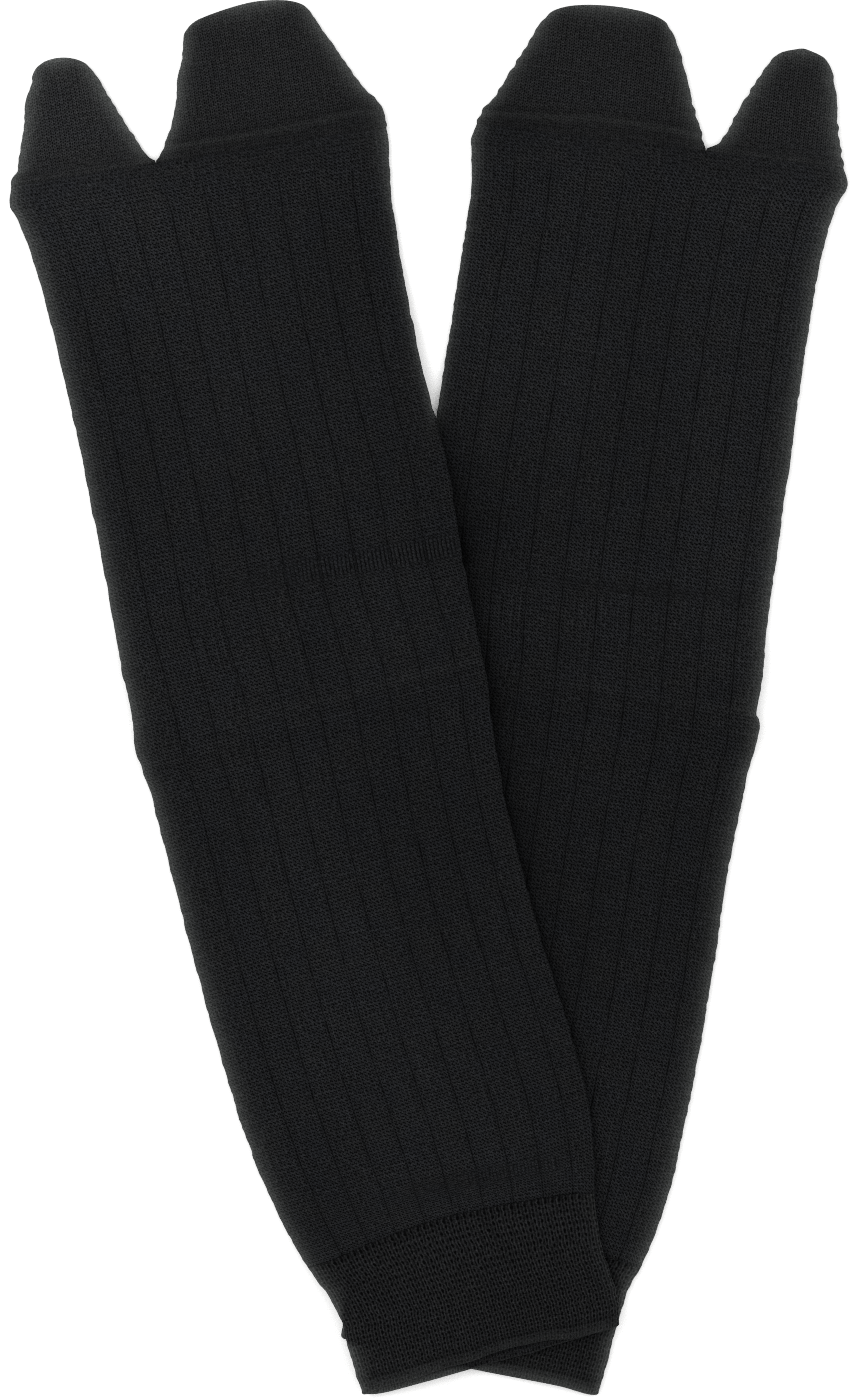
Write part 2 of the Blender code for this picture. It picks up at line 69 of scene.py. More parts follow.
overSock = {
    "name": "over",
    "lay": (      # along, x, y, half the width, lean in degrees
        (0.0, 19.0, -206.2, 41.3, 15.8), (6.7, 18.1, -199.8, 42.2, 15.0),
        (13.6, 16.2, -193.2, 42.3, 14.0), (21.8, 13.9, -185.4, 42.1, 13.3),
        (28.7, 11.6, -178.8, 42.7, 13.3), (36.3, 8.8, -171.6, 44.5, 14.0),
        (41.4, 7.0, -166.6, 46.0, 14.2), (53.5, 3.6, -155.0, 49.2, 14.5),
        (63.5, 0.9, -145.3, 51.0, 15.0), (78.1, -3.4, -131.4, 52.7, 15.0),
        (97.6, -9.3, -112.8, 53.2, 15.0), (130.0, -18.6, -81.7, 52.9, 15.0),
        (162.2, -26.7, -50.6, 53.0, 14.5), (194.2, -33.7, -19.4, 54.3, 14.5),
        (204.0, -35.8, -9.8, 55.6, 14.2), (211.6, -37.4, -2.4, 55.6, 14.0),
        (244.8, -43.6, 30.2, 55.3, 12.5), (276.6, -49.1, 61.6, 55.6, 12.0),
        (308.8, -56.3, 92.9, 54.7, 12.0), (337.4, -62.3, 120.9, 55.1, 11.5),
        (361.4, -67.3, 144.4, 56.4, 10.5), (375.8, -70.4, 158.3, 58.4, 9.5),
        (381.5, -71.9, 163.9, 59.7, 9.2), (386.5, -72.2, 169.0, 59.2, 9.0),
    ),
    "cuffLine": 41.4,
    "heelLine": 211.6,
    "heelReach": 44.0,
    "footShift": 0.0,       # moves the lines between ribs, in shares of the width
    "legShift": 0.025,
    "seed": 11,
    "outerSide": -1,        # where the big toe is: left of the middle line, or 1 for right
    "heelKink": (      # along, how far the outer edge juts out beside the folded heel
        (190.0, 0.0), (201.7, -0.7), (204.9, -0.7), (208.2, -0.1), (209.8, 0.3), (211.6, 0.4),
        (213.2, 0.3), (214.7, 0.0), (217.5, -0.4), (221.0, -0.6), (224.2, -0.6), (230.0, -0.3),
        (240.0, 0.0),
    ),
    "bigToe": (      # beyond the toe line, left edge, right edge
        (0.0, -59.2, -13.4), (1.0, -59.2, -13.6), (1.6, -59.0, -14.5), (2.4, -58.4, -15.4),
        (4.4, -56.5, -16.8), (9.0, -55.0, -18.9), (15.0, -53.0, -21.4), (21.0, -51.5, -24.1),
        (27.0, -49.6, -26.4), (31.0, -47.8, -28.2), (34.0, -46.8, -30.0), (35.9, -44.9, -32.5),
        (37.0, -42.8, -35.2),
    ),
    "fourToes": (
        (0.0, -13.4, 59.2), (1.0, -13.2, 59.4), (1.6, -12.5, 59.4), (2.2, -11.8, 59.4),
        (4.5, -10.2, 59.3), (5.6, -9.6, 59.1), (6.7, -9.0, 58.7), (9.0, -7.6, 57.4),
        (13.0, -5.7, 54.6), (19.0, -3.9, 51.2), (26.0, -1.9, 47.9), (32.0, 0.0, 44.9),
        (37.5, 1.5, 42.4), (40.4, 3.2, 40.8), (42.4, 7.0, 38.8), (43.8, 13.0, 35.6),
        (44.7, 18.5, 31.5),
    ),
    # Where each toe seam lies: across, beyond the toe line
    "fourToesSeam": ((-13, 4.1), (11, 4.1), (20, 4.2), (30, 4.6), (39, 5.0), (51, 5.8), (59, 4.3)),
    "bigToeSeam": ((-60, 0.6), (-44, 0.9), (-31, 1.0), (-13, 1.0)),
    # How far the cuff's join and the hem's two layers stray: share of the width, along
    "joinBow": ((0, 0.0), (0.07, 0.5), (0.19, 2.5), (0.3, 3.8), (0.48, 5.1), (0.68, 4.4),
                (0.83, 3.4), (0.93, 2.4), (1, 0.8)),
    "frontHem": ((0, 0.1), (0.04, 0.6), (0.09, 1.1), (0.18, 0.9), (0.33, 1.5), (0.42, 1.2), (0.5, 1.9),
                 (0.57, 2.1), (0.65, 1.7), (0.73, 1.1), (0.82, -0.5), (0.96, -0.9), (1, -0.6)),
    "backHem": ((0, 0.1), (0.05, -0.9), (0.11, -1.2), (0.4, -1.2), (0.6, -1.3), (0.65, -1.6), (0.72, -1.2),
                (0.85, -1.1), (1, -0.8)),
    # Creases across the front: where each starts and ends (share, along), its lift, the dip below
    # it, how far below that dip lies, and its width
    "creases": (
        {"start": (-0.05, 212.6), "end": (0.45, 211.9), "lift": 0.1, "dip": 0.05, "below": 2.2, "wide": 1.3},
        {"start": (0.36, 211.8), "end": (1.05, 212.8), "lift": 0.22, "dip": 0.12, "below": 2.3, "wide": 1.2},
        {"start": (0.84, 209.4), "end": (1.05, 208.6), "lift": 0.0, "dip": 0.15, "below": 0.0, "wide": 1.6},
        {"start": (0.24, 256.4), "end": (1.05, 250.6), "lift": 0.05, "dip": 0.05, "below": 2.2, "wide": 1.4},
        {"start": (0.5, 66.0), "end": (0.95, 49.0), "lift": 0.08, "dip": 0.1, "below": 5.0, "wide": 4.0},
    ),
    # Bands where the stitches were pulled long: (share, along) at both ends, how far the band sags
    # between them, half its width, and how open the stitches are
    "longStitches": (
        {"start": (0.26, 256.0), "end": (1.0, 250.9), "sag": 1.0, "half": 4.2, "open": 0.72},
        {"start": (0.3, 58.0), "end": (0.9, 54.5), "sag": 0.0, "half": 2.6, "open": 0.45},
    ),
}

underSock = {
    "name": "under",
    "lay": (
        (0.0, 12.5, -208.6, 40.9, -12.6), (10.0, 14.7, -198.8, 41.6, -12.4),
        (20.0, 16.7, -188.7, 42.1, -12.2), (30.5, 18.7, -178.6, 43.1, -12.1),
        (36.0, 19.6, -173.4, 44.4, -12.0), (40.8, 20.6, -168.6, 46.0, -12.0),
        (52.9, 22.4, -156.7, 49.2, -11.2), (62.9, 24.0, -146.8, 51.0, -11.0),
        (77.5, 25.8, -132.3, 52.7, -10.9), (97.0, 29.4, -113.1, 53.2, -10.8),
        (129.4, 35.4, -81.3, 52.9, -10.6), (161.6, 40.1, -49.4, 53.0, -10.4),
        (193.6, 45.0, -17.8, 54.3, -10.2), (203.5, 46.4, -8.0, 55.7, -9.6),
        (211.0, 47.4, -0.6, 55.3, -9.1), (244.2, 50.8, 32.4, 55.3, -8.5),
        (276.0, 54.9, 64.0, 55.6, -8.3), (308.2, 59.6, 95.8, 55.3, -8.2),
        (336.8, 63.8, 124.1, 55.1, -8.0), (360.8, 67.8, 147.8, 55.5, -7.6),
        (375.2, 70.4, 161.9, 57.4, -7.3), (380.6, 71.8, 167.2, 59.0, -7.1),
        (385.9, 72.2, 172.4, 57.6, -7.0),
    ),
    "cuffLine": 40.8,
    "heelLine": 214.0,
    "heelReach": 33.0,
    "footShift": 0.015,
    "legShift": 0.02,
    "seed": 23,
    "outerSide": 1,
    "heelKink": (
        (194.0, 0.0), (197.0, -0.3), (200.5, -0.6), (202.5, -0.4), (205.0, 0.0), (207.5, 0.5),
        (210.6, 0.8), (212.6, 0.7), (213.9, 0.3), (215.0, -0.7), (216.5, -0.8), (221.0, -0.35),
        (226.0, 0.0),
    ),
    "fourToes": (
        (0.0, -57.6, 14.2), (1.0, -57.5, 14.0), (1.6, -57.4, 13.5), (2.2, -57.3, 13.0),
        (4.4, -56.4, 12.5), (5.5, -55.8, 12.1), (6.6, -55.0, 11.7), (9.0, -53.2, 10.6),
        (13.0, -51.2, 8.8), (19.0, -48.5, 6.5), (26.0, -45.2, 3.7), (31.0, -43.0, 1.7),
        (35.2, -40.7, -0.6), (38.1, -38.0, -2.9), (40.0, -33.4, -6.2), (41.1, -28.0, -10.6),
    ),
    "bigToe": (
        (0.0, 14.2, 57.6), (1.0, 14.5, 57.4), (1.6, 15.6, 57.1), (2.4, 16.9, 56.7),
        (4.4, 19.0, 56.3), (9.0, 21.0, 55.0), (15.0, 23.4, 53.7), (21.0, 26.1, 52.6),
        (27.0, 29.0, 50.9), (31.0, 31.4, 49.5), (33.2, 33.5, 47.7), (34.5, 36.0, 45.2),
        (35.2, 38.4, 42.8),
    ),
    "fourToesSeam": ((-58, 3.2), (-51, 3.8), (-42, 4.4), (-32, 4.9), (-20, 6.0), (-7, 5.8), (14, 4.5)),
    "bigToeSeam": ((14, 0.8), (40, 0.7), (60, 0.5)),
    "joinBow": ((0, 0.6), (0.2, 2.4), (0.5, 3.6), (0.8, 2.0), (1, 0.0)),
    "frontHem": ((0, 0.0), (0.5, -0.4), (0.7, 0.0), (0.86, 0.3), (0.97, -0.2), (1, 0.0)),
    "backHem": ((0, -0.3), (0.5, -0.8), (0.7, -0.4), (0.86, -0.1), (0.97, -0.6), (1, -0.3)),
    "creases": (
        {"start": (0.1, 243.6), "end": (0.97, 250.2), "lift": 0.0, "dip": 0.12, "below": 0.0, "wide": 1.5},
        {"start": (0.36, 215.4), "end": (1.05, 215.0), "lift": 0.22, "dip": 0.12, "below": 2.2, "wide": 1.1},
    ),
    "longStitches": (
        {"start": (0.2, 244.6), "end": (0.95, 250.0), "sag": 0.0, "half": 2.0, "open": 0.3},
    ),
}

# The heel pocket is folded flat behind the sole. Its outline is half its width, by the share of the
# way from the heel line to its end.
heelPocket = {
    "thick": 1.8,
    "wall": 0.75,
    "hollow": 0.3,
    "foldHigh": 1.2,
    "foldLow": 1.0,
    "gap": 0.45,            # between the pocket and the sole
    "down": (4.5, 8.0),     # how far past the pocket the sole begins to come down, and over how far
    "widest": 0.2,          # the share of the way at which it is widest
    "outline": (
        (0.0, 46.0), (0.03, 50.0), (0.1, 52.5), (0.2, 52.6), (0.42, 51.6), (0.55, 49.8),
        (0.68, 47.2), (0.82, 43.2), (0.92, 39.5), (0.98, 35.5), (1.0, 32.0),
    ),
    "sections": ((0, 0.06, 5), (0.09, 0.97, 44), (0.98, 1, 4)),      # shares of the way, how many
    "frontPoints": 90,
    "backPoints": 94,
    "liningRows": 12,
    "liningStops": 6,       # sections before the tip
    "tipFlat": 0.95,        # how much its end thins out
    "goreSlope": 0.75,      # the line of linked stitches at each side of the pocket
    "goreWide": 0.8,
    # a paler line along the linked stitches, and painted highlight along the pocket's edges
    "gorePale": 0.3,
    "paintedEdgeHighlight": 0.4,
    "edgeWide": 1.6,
}

# How the upper sock comes down off the lower one: where it begins to, and over how far
drape = {
    "edge": (2.5, 24.0),
    "heel": (8.0, 16.0),
    "hem": (3.6, 14.0),
    "hemRoll": 0.35,        # how high the rolled hem lifts it
    "hemSlip": 1.8,         # between the hem's two layers
    "clear": (-0.5, 3.0),   # where the table begins to show beside the lower sock, and over how far
}


def softStep(t):
    t = np.clip(t, 0.0, 1.0)
    return t * t * (3 - 2 * t)


def rise(x, start, over):      # 0 up to start, and 1 once x is past it by over
    return softStep((x - start) / over)


def hump(distance, wide):
    return np.exp(-(distance / wide) ** 2)


def fromTable(table, column, at):      # a monotone cubic through one column, level past both ends
    knots = np.array([row[0] for row in table], float)
    values = np.array([row[column] for row in table], float)
    steps = np.diff(knots)
    rises = np.diff(values) / steps
    before, after = rises[:-1], rises[1:]
    total = before + after
    safe = np.where(total == 0, 1.0, total)
    inner = np.where(before * after > 0, 2 * before * after / safe, 0.0)
    slopes = np.concatenate((rises[:1], inner, rises[-1:]))
    at = np.clip(at, knots[0], knots[-1])
    k = np.clip(np.searchsorted(knots, at, side="right") - 1, 0, len(steps) - 1)
    t = (at - knots[k]) / steps[k]
    return (
        values[k] * (1 + 2 * t) * (1 - t) ** 2
        + values[k + 1] * t * t * (3 - 2 * t)
        + steps[k] * t * (1 - t) * (slopes[k] * (1 - t) - slopes[k + 1] * t)
    )


def halfWidth(sock, along):
    return fromTable(sock["lay"], 3, along)


def laidPoint(sock, along, across):      # where a place on the sock lies on the table
    lay = sock["lay"]
    held = np.clip(along, lay[0][0], lay[-1][0])
    past = along - held
    lean = np.radians(fromTable(lay, 4, held))
    x = fromTable(lay, 1, held) - past * np.sin(lean) + across * np.cos(lean)
    y = fromTable(lay, 2, held) + past * np.cos(lean) + across * np.sin(lean)
    return x + middleX, y + middleY


def offSection(sock, along, x, y):      # how far a point of the table lies past a section, and across it
    centreX, centreY = laidPoint(sock, along, 0.0)
    lean = np.radians(fromTable(sock["lay"], 4, along))
    right, ahead = x - centreX, y - centreY
    return ahead * np.cos(lean) - right * np.sin(lean), right * np.cos(lean) + ahead * np.sin(lean)


roundsToPlace = 12      # each comes closer


def placeOn(sock, x, y):      # the place on the sock above a point of the table
    lay = sock["lay"]
    along = np.full(np.shape(x), lay[len(lay) // 2][0])
    for _ in range(roundsToPlace):
        along = along + offSection(sock, along, x, y)[0]
    return along, offSection(sock, along, x, y)[1]


waveWeaker = 0.7      # how fast shorter waves lose strength
wavePeak = 1.3        # how high they add up, beside the root of their squares


def makeWaves(seed, count, shortest, longest):      # at random slants
    rng = np.random.default_rng(seed)
    waves = []
    for _ in range(count):
        turn = rng.uniform(0, math.pi)
        length = rng.uniform(shortest, longest)
        waves.append((
            2 * math.pi * math.cos(turn) / length,
            2 * math.pi * math.sin(turn) / length,
            rng.uniform(0, 2 * math.pi),
            (length / longest) ** waveWeaker,
        ))
    return waves


def swellAt(waves, x, y):      # runs from about -1 to 1
    total = sum(w * np.sin(kx * x + ky * y + phase) for kx, ky, phase, w in waves)
    return total / (wavePeak * math.sqrt(sum(w * w for _, _, _, w in waves)))


waveKinds = {      # added to the sock's seed, how many waves, the shortest, the longest
    "waves": (0, 14, 16.0, 70.0),
    "ripples": (5, 12, 3.5, 12.0),
    "nap": (9, 16, 22.0, 80.0),
    "finerNap": (13, 18, 5.0, 20.0),
    "fuzz": (17, 14, 2.2, 5.0),
}
for sock in (overSock, underSock):
    for kind, (added, count, shortest, longest) in waveKinds.items():
        sock[kind] = makeWaves(sock["seed"] + added, count, shortest, longest)


def heelRise(sock, along, across, start, over):      # how far the folded heel lifts what lies on it
    beyond = along - sock["heelLine"]
    share = np.maximum(beyond / sock["heelReach"], heelPocket["widest"])
    side = np.abs(across) - fromTable(heelPocket["outline"], 1, share)
    end = np.maximum(-beyond, beyond - sock["heelReach"])
    outside = np.hypot(np.maximum(side, 0), np.maximum(end, 0))
    return (heelPocket["thick"] + heelPocket["gap"]) * (1 - rise(outside, start, over))


def tableHeight(sock, x, y):      # what the sock lies on: the table, or the lower sock
    if sock is underSock:
        return np.zeros(np.shape(x))
    along, across = placeOn(underSock, x, y)
    side = np.abs(across) - halfWidth(underSock, along)
    outside = np.hypot(np.maximum(side, 0), np.maximum(-along - drape["hemSlip"] / 2, 0))
    share = 1 - rise(outside, *drape["edge"])
    heel = heelRise(underSock, along, across, *drape["heel"])
    hem = drape["hemRoll"] * (1 - rise(along, *drape["hem"]))
    swell = cloth["swell"] * swellAt(underSock["waves"], x, y)
    return (cloth["thick"] + cloth["layGap"] + heel + hem + swell) * share


def onTable(sock, x, y):      # 1 where the table shows beside an edge, 0 over the lower sock
    if sock is underSock:
        return np.ones(np.shape(x))
    along, across = placeOn(underSock, x, y)
    outside = np.maximum(np.abs(across) - halfWidth(underSock, along), -along)
    return rise(outside, *drape["clear"])


def setDown(sock, along, across, up, onHeel=True):
    x, y = laidPoint(sock, along, across)
    z = tableHeight(sock, x, y) + up
    if onHeel:
        z = z + heelRise(sock, along, across, *heelPocket["down"])
    return np.stack((x, y, z), axis=-1)


def clothSwell(sock, along, across):
    return cloth["swell"] * swellAt(sock["waves"], *laidPoint(sock, along, across))


def wander(sock, along, side, fuzz):      # how far a folded edge strays from its line
    line = np.full(np.shape(along), cloth["edgeApart"] * side)
    uneven = cloth["edgeWander"] * swellAt(sock["ripples"], line, along)
    uneven = uneven + fuzz * swellAt(sock["fuzz"], line, along)
    kink = fromTable(sock["heelKink"], 1, along) if side == sock["outerSide"] else 0.0
    return uneven + side * (cloth["edgeOut"] + kink)


def foldedEdges(sock, along):
    half, fuzz = halfWidth(sock, along), cloth["edgeFuzz"]
    return wander(sock, along, -1, fuzz) - half, wander(sock, along, 1, fuzz) + half


# How much lighter or darker than plain yarn the cloth is: a random drift of the nap, with painted light and
# painted shade over it
napAndPaintedLight = {
    "drift": 0.07,          # a soft drift, drawn out along the sock
    "driftTall": 0.55,
    "finer": 0.05,          # and a finer one
    "finerNarrow": 1.6,
    "paintedLightPatches": (      # painted light and painted shade where light falls on the pair: x, y, how wide, how tall, how much
        (-116.0, 188.0, 34.0, 34.0, 0.5),      # painted light on the upper sock's big toe
        (-112.0, 150.0, 36.0, 44.0, 0.22),
        (-50.0, 202.0, 40.0, 26.0, 0.24),
        (52.0, 200.0, 40.0, 26.0, 0.04),
        (8.0, 20.0, 58.0, 120.0, -0.15),       # painted shade where the feet part
        (85.0, -50.0, 60.0, 80.0, -0.18),
        (124.0, 180.0, 20.0, 34.0, 0.21),
        (104.0, 158.0, 34.0, 30.0, 0.08),
    ),
    # Painted shadow of the upper sock on the lower one, beside its edge: along the upper sock, how dark, how
    # wide
    "paintedCrookShadow": (
        (0, 0.1, 3.0), (60, 0.25, 3.5), (110, 0.35, 5.0), (150, 0.45, 8.0), (200, 0.5, 10.0),
        (224, 0.3, 6.0), (250, 0.5, 11.0), (285, 0.35, 6.0), (310, 0.2, 4.0), (340, 0.0, 3.0),
    ),
}


def napAndPaintedLightAt(sock, along, across):
    x, y = laidPoint(sock, along, across)
    total = napAndPaintedLight["drift"] * swellAt(sock["nap"], x, napAndPaintedLight["driftTall"] * y)
    total = total + napAndPaintedLight["finer"] * swellAt(sock["finerNap"], napAndPaintedLight["finerNarrow"] * across, along)
    for patchX, patchY, wide, tall, amount in napAndPaintedLight["paintedLightPatches"]:
        total = total + amount * hump(x - patchX, wide) * hump(y - patchY, tall)
    # Painted shadow cast by the upper sock's edge onto the lower sock
    if sock is underSock:
        overAlong, overAcross = placeOn(overSock, x, y)
        outside = np.maximum(overAcross - halfWidth(overSock, overAlong), 0)
        dark, wide = (fromTable(napAndPaintedLight["paintedCrookShadow"], column, overAlong) for column in (1, 2))
        total = total - dark * np.exp(-outside / wide)
    return total


# Painted sheen along every outer edge, where the fluffy nap catches light from the white table, and less of
# it where the feet part
paintedEdgeSheen = {
    "wide": 1.9,            # over which it fades
    "narrower": 0.42,       # where the feet part
    "weaker": 0.15,
    "inner": (-5.0, 10.0),      # where the side towards the other foot begins, and over how far
    "feetFrom": (250.0, 40.0),
    "feetTo": (355.0, 30.0),
}


# Painted sheen near the folded edges, only where the table shows beside them
def paintedRimSheen(sock, along, across, toEdge):
    betweenFeet = rise(-sock["outerSide"] * across, *paintedEdgeSheen["inner"])
    betweenFeet = betweenFeet * rise(along, *paintedEdgeSheen["feetFrom"]) * (1 - rise(along, *paintedEdgeSheen["feetTo"]))
    wide = paintedEdgeSheen["wide"] * (1 - paintedEdgeSheen["narrower"] * betweenFeet)
    rim = (1 - paintedEdgeSheen["weaker"] * betweenFeet) * np.exp(-np.maximum(toEdge, 0) / wide)
    return rim * onTable(sock, *laidPoint(sock, along, across))


highTurn = np.radians((12.0, 25.0, 39.0, 54.0, 71.0))      # round a fold, up to the front face
lowTurn = np.radians((22.0, 45.0, 68.0))                   # and down to the back face


# A piece's outer skin as rings, one for each section: from the left fold over the front to the right
# fold, and back along the back. Left, right and squash are columns with a row for each section.
class Rings:
    def __init__(self, sock, bag, left, right, front, back, squash=1.0):
        radius = bag["thick"] / 2
        narrow = np.minimum(1.0, (right - left) / cloth["foldRoom"] / bag["foldHigh"])
        high, low = bag["foldHigh"] * narrow, bag["foldLow"] * narrow
        riseHigh, riseLow = radius * np.sin(highTurn), radius * np.sin(lowTurn)
        inHigh, inLow = (1 - np.cos(highTurn)) * high, (1 - np.cos(lowTurn)) * low
        flat = np.zeros((len(left), 1))
        up = np.concatenate((
            flat, flat + riseHigh, flat + np.full(front.shape[1], radius), flat + riseHigh[::-1], flat,
            flat - riseLow, flat - np.full(back.shape[1], radius), flat - riseLow[::-1],
        ), axis=1)
        self.sock, self.bag, self.left, self.right = sock, bag, left, right
        self.across = np.concatenate((
            left, left + inHigh, front, right - inHigh[:, ::-1], right,
            right - inLow, back[:, ::-1], left + inLow[:, ::-1],
        ), axis=1)
        self.up = radius + up * squash
        self.onFront, self.onBack = np.clip(up / radius, 0, 1), np.clip(-up / radius, 0, 1)
        self.share = (self.across - left) / (right - left)
        self.toSide = np.minimum(self.across - left, right - self.across)

    def knit(self, flatWales, pitch, rows):
        # Wales are counted on the flat front, round the fold, along the back and once more to the start
        across, up = self.across, self.up
        steps = np.hypot(np.diff(across), np.diff(up))
        length = np.concatenate((np.zeros((len(across), 1)), np.cumsum(steps, axis=1)), axis=1)
        turn = np.argmax(across, axis=1)[0]      # the right fold
        extra = length - (across - self.left)
        extra = extra - extra[:, len(highTurn) + 1, None]
        toTurn, turnWales = length[:, turn, None], flatWales[:, turn, None]
        frontWales = flatWales + extra / pitch
        turned = turnWales + extra[:, turn, None] / pitch
        backWales = turned + turnWales - flatWales + (length - toTurn - (self.right - across)) / pitch
        wales = np.where(np.arange(across.shape[1])[None] <= turn, frontWales, backWales)
        last = np.hypot(across[:, -1:] - self.left, up[:, -1:] - up[:, :1])
        wales = np.concatenate((wales, wales[:, -1:] + last / pitch), axis=1)
        return np.stack((wales, np.broadcast_to(rows, wales.shape)), axis=-1)

    def lining(self):      # the same rings on the inner faces of the two layers
        wall, hollow = self.bag["wall"], self.bag["hollow"]
        insideLeft, insideRight = self.left + wall, self.right - wall
        toEdge = np.minimum(self.share, 1 - self.share) * (self.right - self.left)
        side = np.where(self.onFront > 0, 1.0, -1.0) * np.sqrt(np.clip(toEdge / cloth["hollowEnd"], 0, 1))
        inside = insideLeft + self.share * (insideRight - insideLeft)
        return inside, self.bag["thick"] / 2 + side * hollow / 2


def flatEnds(left, right, fold):
    return left + fold + cloth["pastFold"], right - fold - cloth["pastFold"]


def evenRow(left, right, count, fold):
    start, end = flatEnds(left, right, fold)
    return start + (end - start) * np.linspace(0, 1, count)


def spreadRows(first, last, count):      # the sections that a lining keeps
    return np.unique(np.linspace(first, last, count).round().astype(int))


def bowed(sock, base, share):      # rows near the cuff's join bow with it
    fade = 1 - rise(np.abs(base - sock["cuffLine"]), 0.0, cloth["joinReach"])
    return base + fromTable(sock["joinBow"], 1, share) * fade


def joinGroove(fromJoin):
    return cloth["joinSink"] * hump(fromJoin, cloth["joinWide"])


# A mesh is gathered ring by ring. Every point has a place on the knit (wale, course) and some tones:
# how much painted highlight (with the heel's paler gore lines), how much painted shade (with the dark line
# along the join), how strong the painted shade in the lines between ribs, how open its stitches, how close
# to the join, how hidden the stitches are by fluff, and how much lighter or darker it is, by the nap and by
# painted light and shadow.
toneNames = ("paleAndPaintedHighlight", "darkJoinAndPaintedShade", "line", "open", "join", "soft", "napAndPaintedLightTone")


class Shell:
    def __init__(self):
        self.points, self.knit = [], []
        self.tones = {name: [] for name in toneNames}
        self.pointCount = self.knitCount = 0
        self.faces = ([], [])      # by points, and by places on the knit

    def addRings(self, points, knit, tones=None):
        rows, count = points.shape[:2]
        places = self.pointCount + np.arange(rows * count).reshape(rows, count)
        places = np.concatenate((places, places[:, :1]), axis=1)
        corners = self.knitCount + np.arange(rows * (count + 1)).reshape(rows, count + 1)
        self.points.append(points.reshape(-1, 3))
        self.knit.append(knit.reshape(-1, 2))
        for name in toneNames:
            tone = (tones or {}).get(name, np.zeros((rows, count)))
            self.tones[name].append(np.broadcast_to(tone, (rows, count)).reshape(-1))
        self.pointCount += rows * count
        self.knitCount += rows * (count + 1)
        return places, corners

    def addBoth(self, rings, along, raised, knit, tones, rows, liningTones=None):
        onHeel = rings.bag is not heelPocket      # the folded heel lies under all the rest
        outer = self.addRings(setDown(rings.sock, along, rings.across, raised, onHeel), knit, tones)
        inside, insideUp = rings.lining()
        lining = setDown(rings.sock, along[rows], inside[rows], insideUp[rows], onHeel)
        return outer, self.addRings(lining, knit[rows], liningTones)

    def skin(self, rings, outward=True):
        for faces, table in zip(self.faces, rings):
            quads = np.stack((table[:-1, :-1], table[:-1, 1:], table[1:, 1:], table[1:, :-1]), axis=-1)
            quads = quads.reshape(-1, 4)
            faces.extend((quads if outward else quads[:, ::-1]).tolist())

    def edge(self, outer, inner, rows, toToes=False):      # joins a ring of one to a ring of the other
        for faces, first, second in zip(self.faces, outer, inner):
            first, second = first[rows[0]], second[rows[1]]
            quads = np.stack((first[:-1], second[:-1], second[1:], first[1:]), axis=-1)
            faces.extend((quads[:, ::-1] if toToes else quads).tolist())

    def tip(self, rings, outward=True):      # closes the last ring, front against back
        for faces, table in zip(self.faces, rings):
            ring = table[-1]
            half = (len(ring) - 1) // 2
            for k in range(half):
                face = [ring[k], ring[k + 1], ring[-2 - k], ring[-1 - k]]
                if k in (0, half - 1):      # a triangle at either fold
                    del face[3 if k == 0 else 2]
                faces.append(face if outward else face[::-1])

    def close(self, outer, lining, tipped):
        self.skin(outer)
        self.skin(lining, outward=False)
        self.edge(outer, lining, (0, 0))
        if tipped:
            self.tip(outer)
            self.tip(lining, outward=False)
        else:
            self.edge(outer, lining, (-1, -1), toToes=True)

    def build(self, name, material):
        mesh = bpy.data.meshes.new(name)
        points = np.concatenate(self.points) * metres
        mesh.from_pydata(points.tolist(), [], self.faces[0])
        corners = np.fromiter((corner for face in self.faces[1] for corner in face), int)
        knit = np.concatenate(self.knit)[corners].astype(np.float32)
        mesh.uv_layers.new(name="Knit").data.foreach_set("uv", knit.ravel())
        for toneName in toneNames:
            tone = np.concatenate(self.tones[toneName]).astype(np.float32)
            mesh.attributes.new(toneName, "FLOAT", "POINT").data.foreach_set("value", tone)
        mesh.polygons.foreach_set("use_smooth", np.ones(len(mesh.polygons), bool))
        mesh.update()
        thing = bpy.data.objects.new(name, mesh)
        bpy.context.scene.collection.objects.link(thing)
        mesh.materials.append(material)
        print(f"{name}: {len(mesh.vertices)} points, {len(mesh.polygons)} faces")
        return thing


# Toe pockets are bags of plain knit in the same cloth, with a raised seam across each of them
pocket = {
    **cloth,
    "foldHigh": 3.4,
    "edgeFuzz": 0.22,
    "step": 0.55,
    "frontPoints": {"bigToe": 76, "fourToes": 130},
    "moreBehind": 4,        # points of the back face
    "liningRows": 14,
    "noseTurn": 84,         # degrees round the tip
    "noseRings": 9,
    "wale": 1.36,
    "seamLift": {"bigToe": 0.2, "fourToes": 0.42},
    "seamWide": 1.2,
    # Painted highlight on the seam's ridge, and painted shade in the soft hollow below it
    "paintedSeamHighlight": 0.2,
    "dipShare": 0.4,        # a soft hollow under the seam
    "dipBelow": 2.6,
    "dipWide": 2.0,
    "paintedDipShade": 0.4,
    "holesDark": 1.2,       # the row of holes above the seam
    "holesAbove": 1.6,
    "holesWide": 1.0,
    "tipBulge": 0.5,        # how far the middle of the tip stands out
    "tipReach": 8.0,
    "notchWide": 3.0,       # beyond the toe line, where the toes part
    "notchDark": 0.85,      # no painted sheen at the bottom of the notch
    "notchAcross": 5.0,
    "notchBeyond": 4.5,
    "rimSoft": 0.5,
    "lineSoft": 0.35,
    "lineSoftReach": 12.0,
    "linePale": 0.1,        # how much darker the toes are at the toe line
    "linePaleReach": 14.0,
}


def seamRelief(sock, toes, beyond, across):      # (ridge, hollow below it, distance) beside a toe seam
    lift = pocket["seamLift"][toes]
    fromSeam = beyond - fromTable(sock[f"{toes}Seam"], 1, across)
    hollow = pocket["dipShare"] * lift * hump(fromSeam + pocket["dipBelow"], pocket["dipWide"])
    return lift * hump(fromSeam, pocket["seamWide"]), hollow, fromSeam


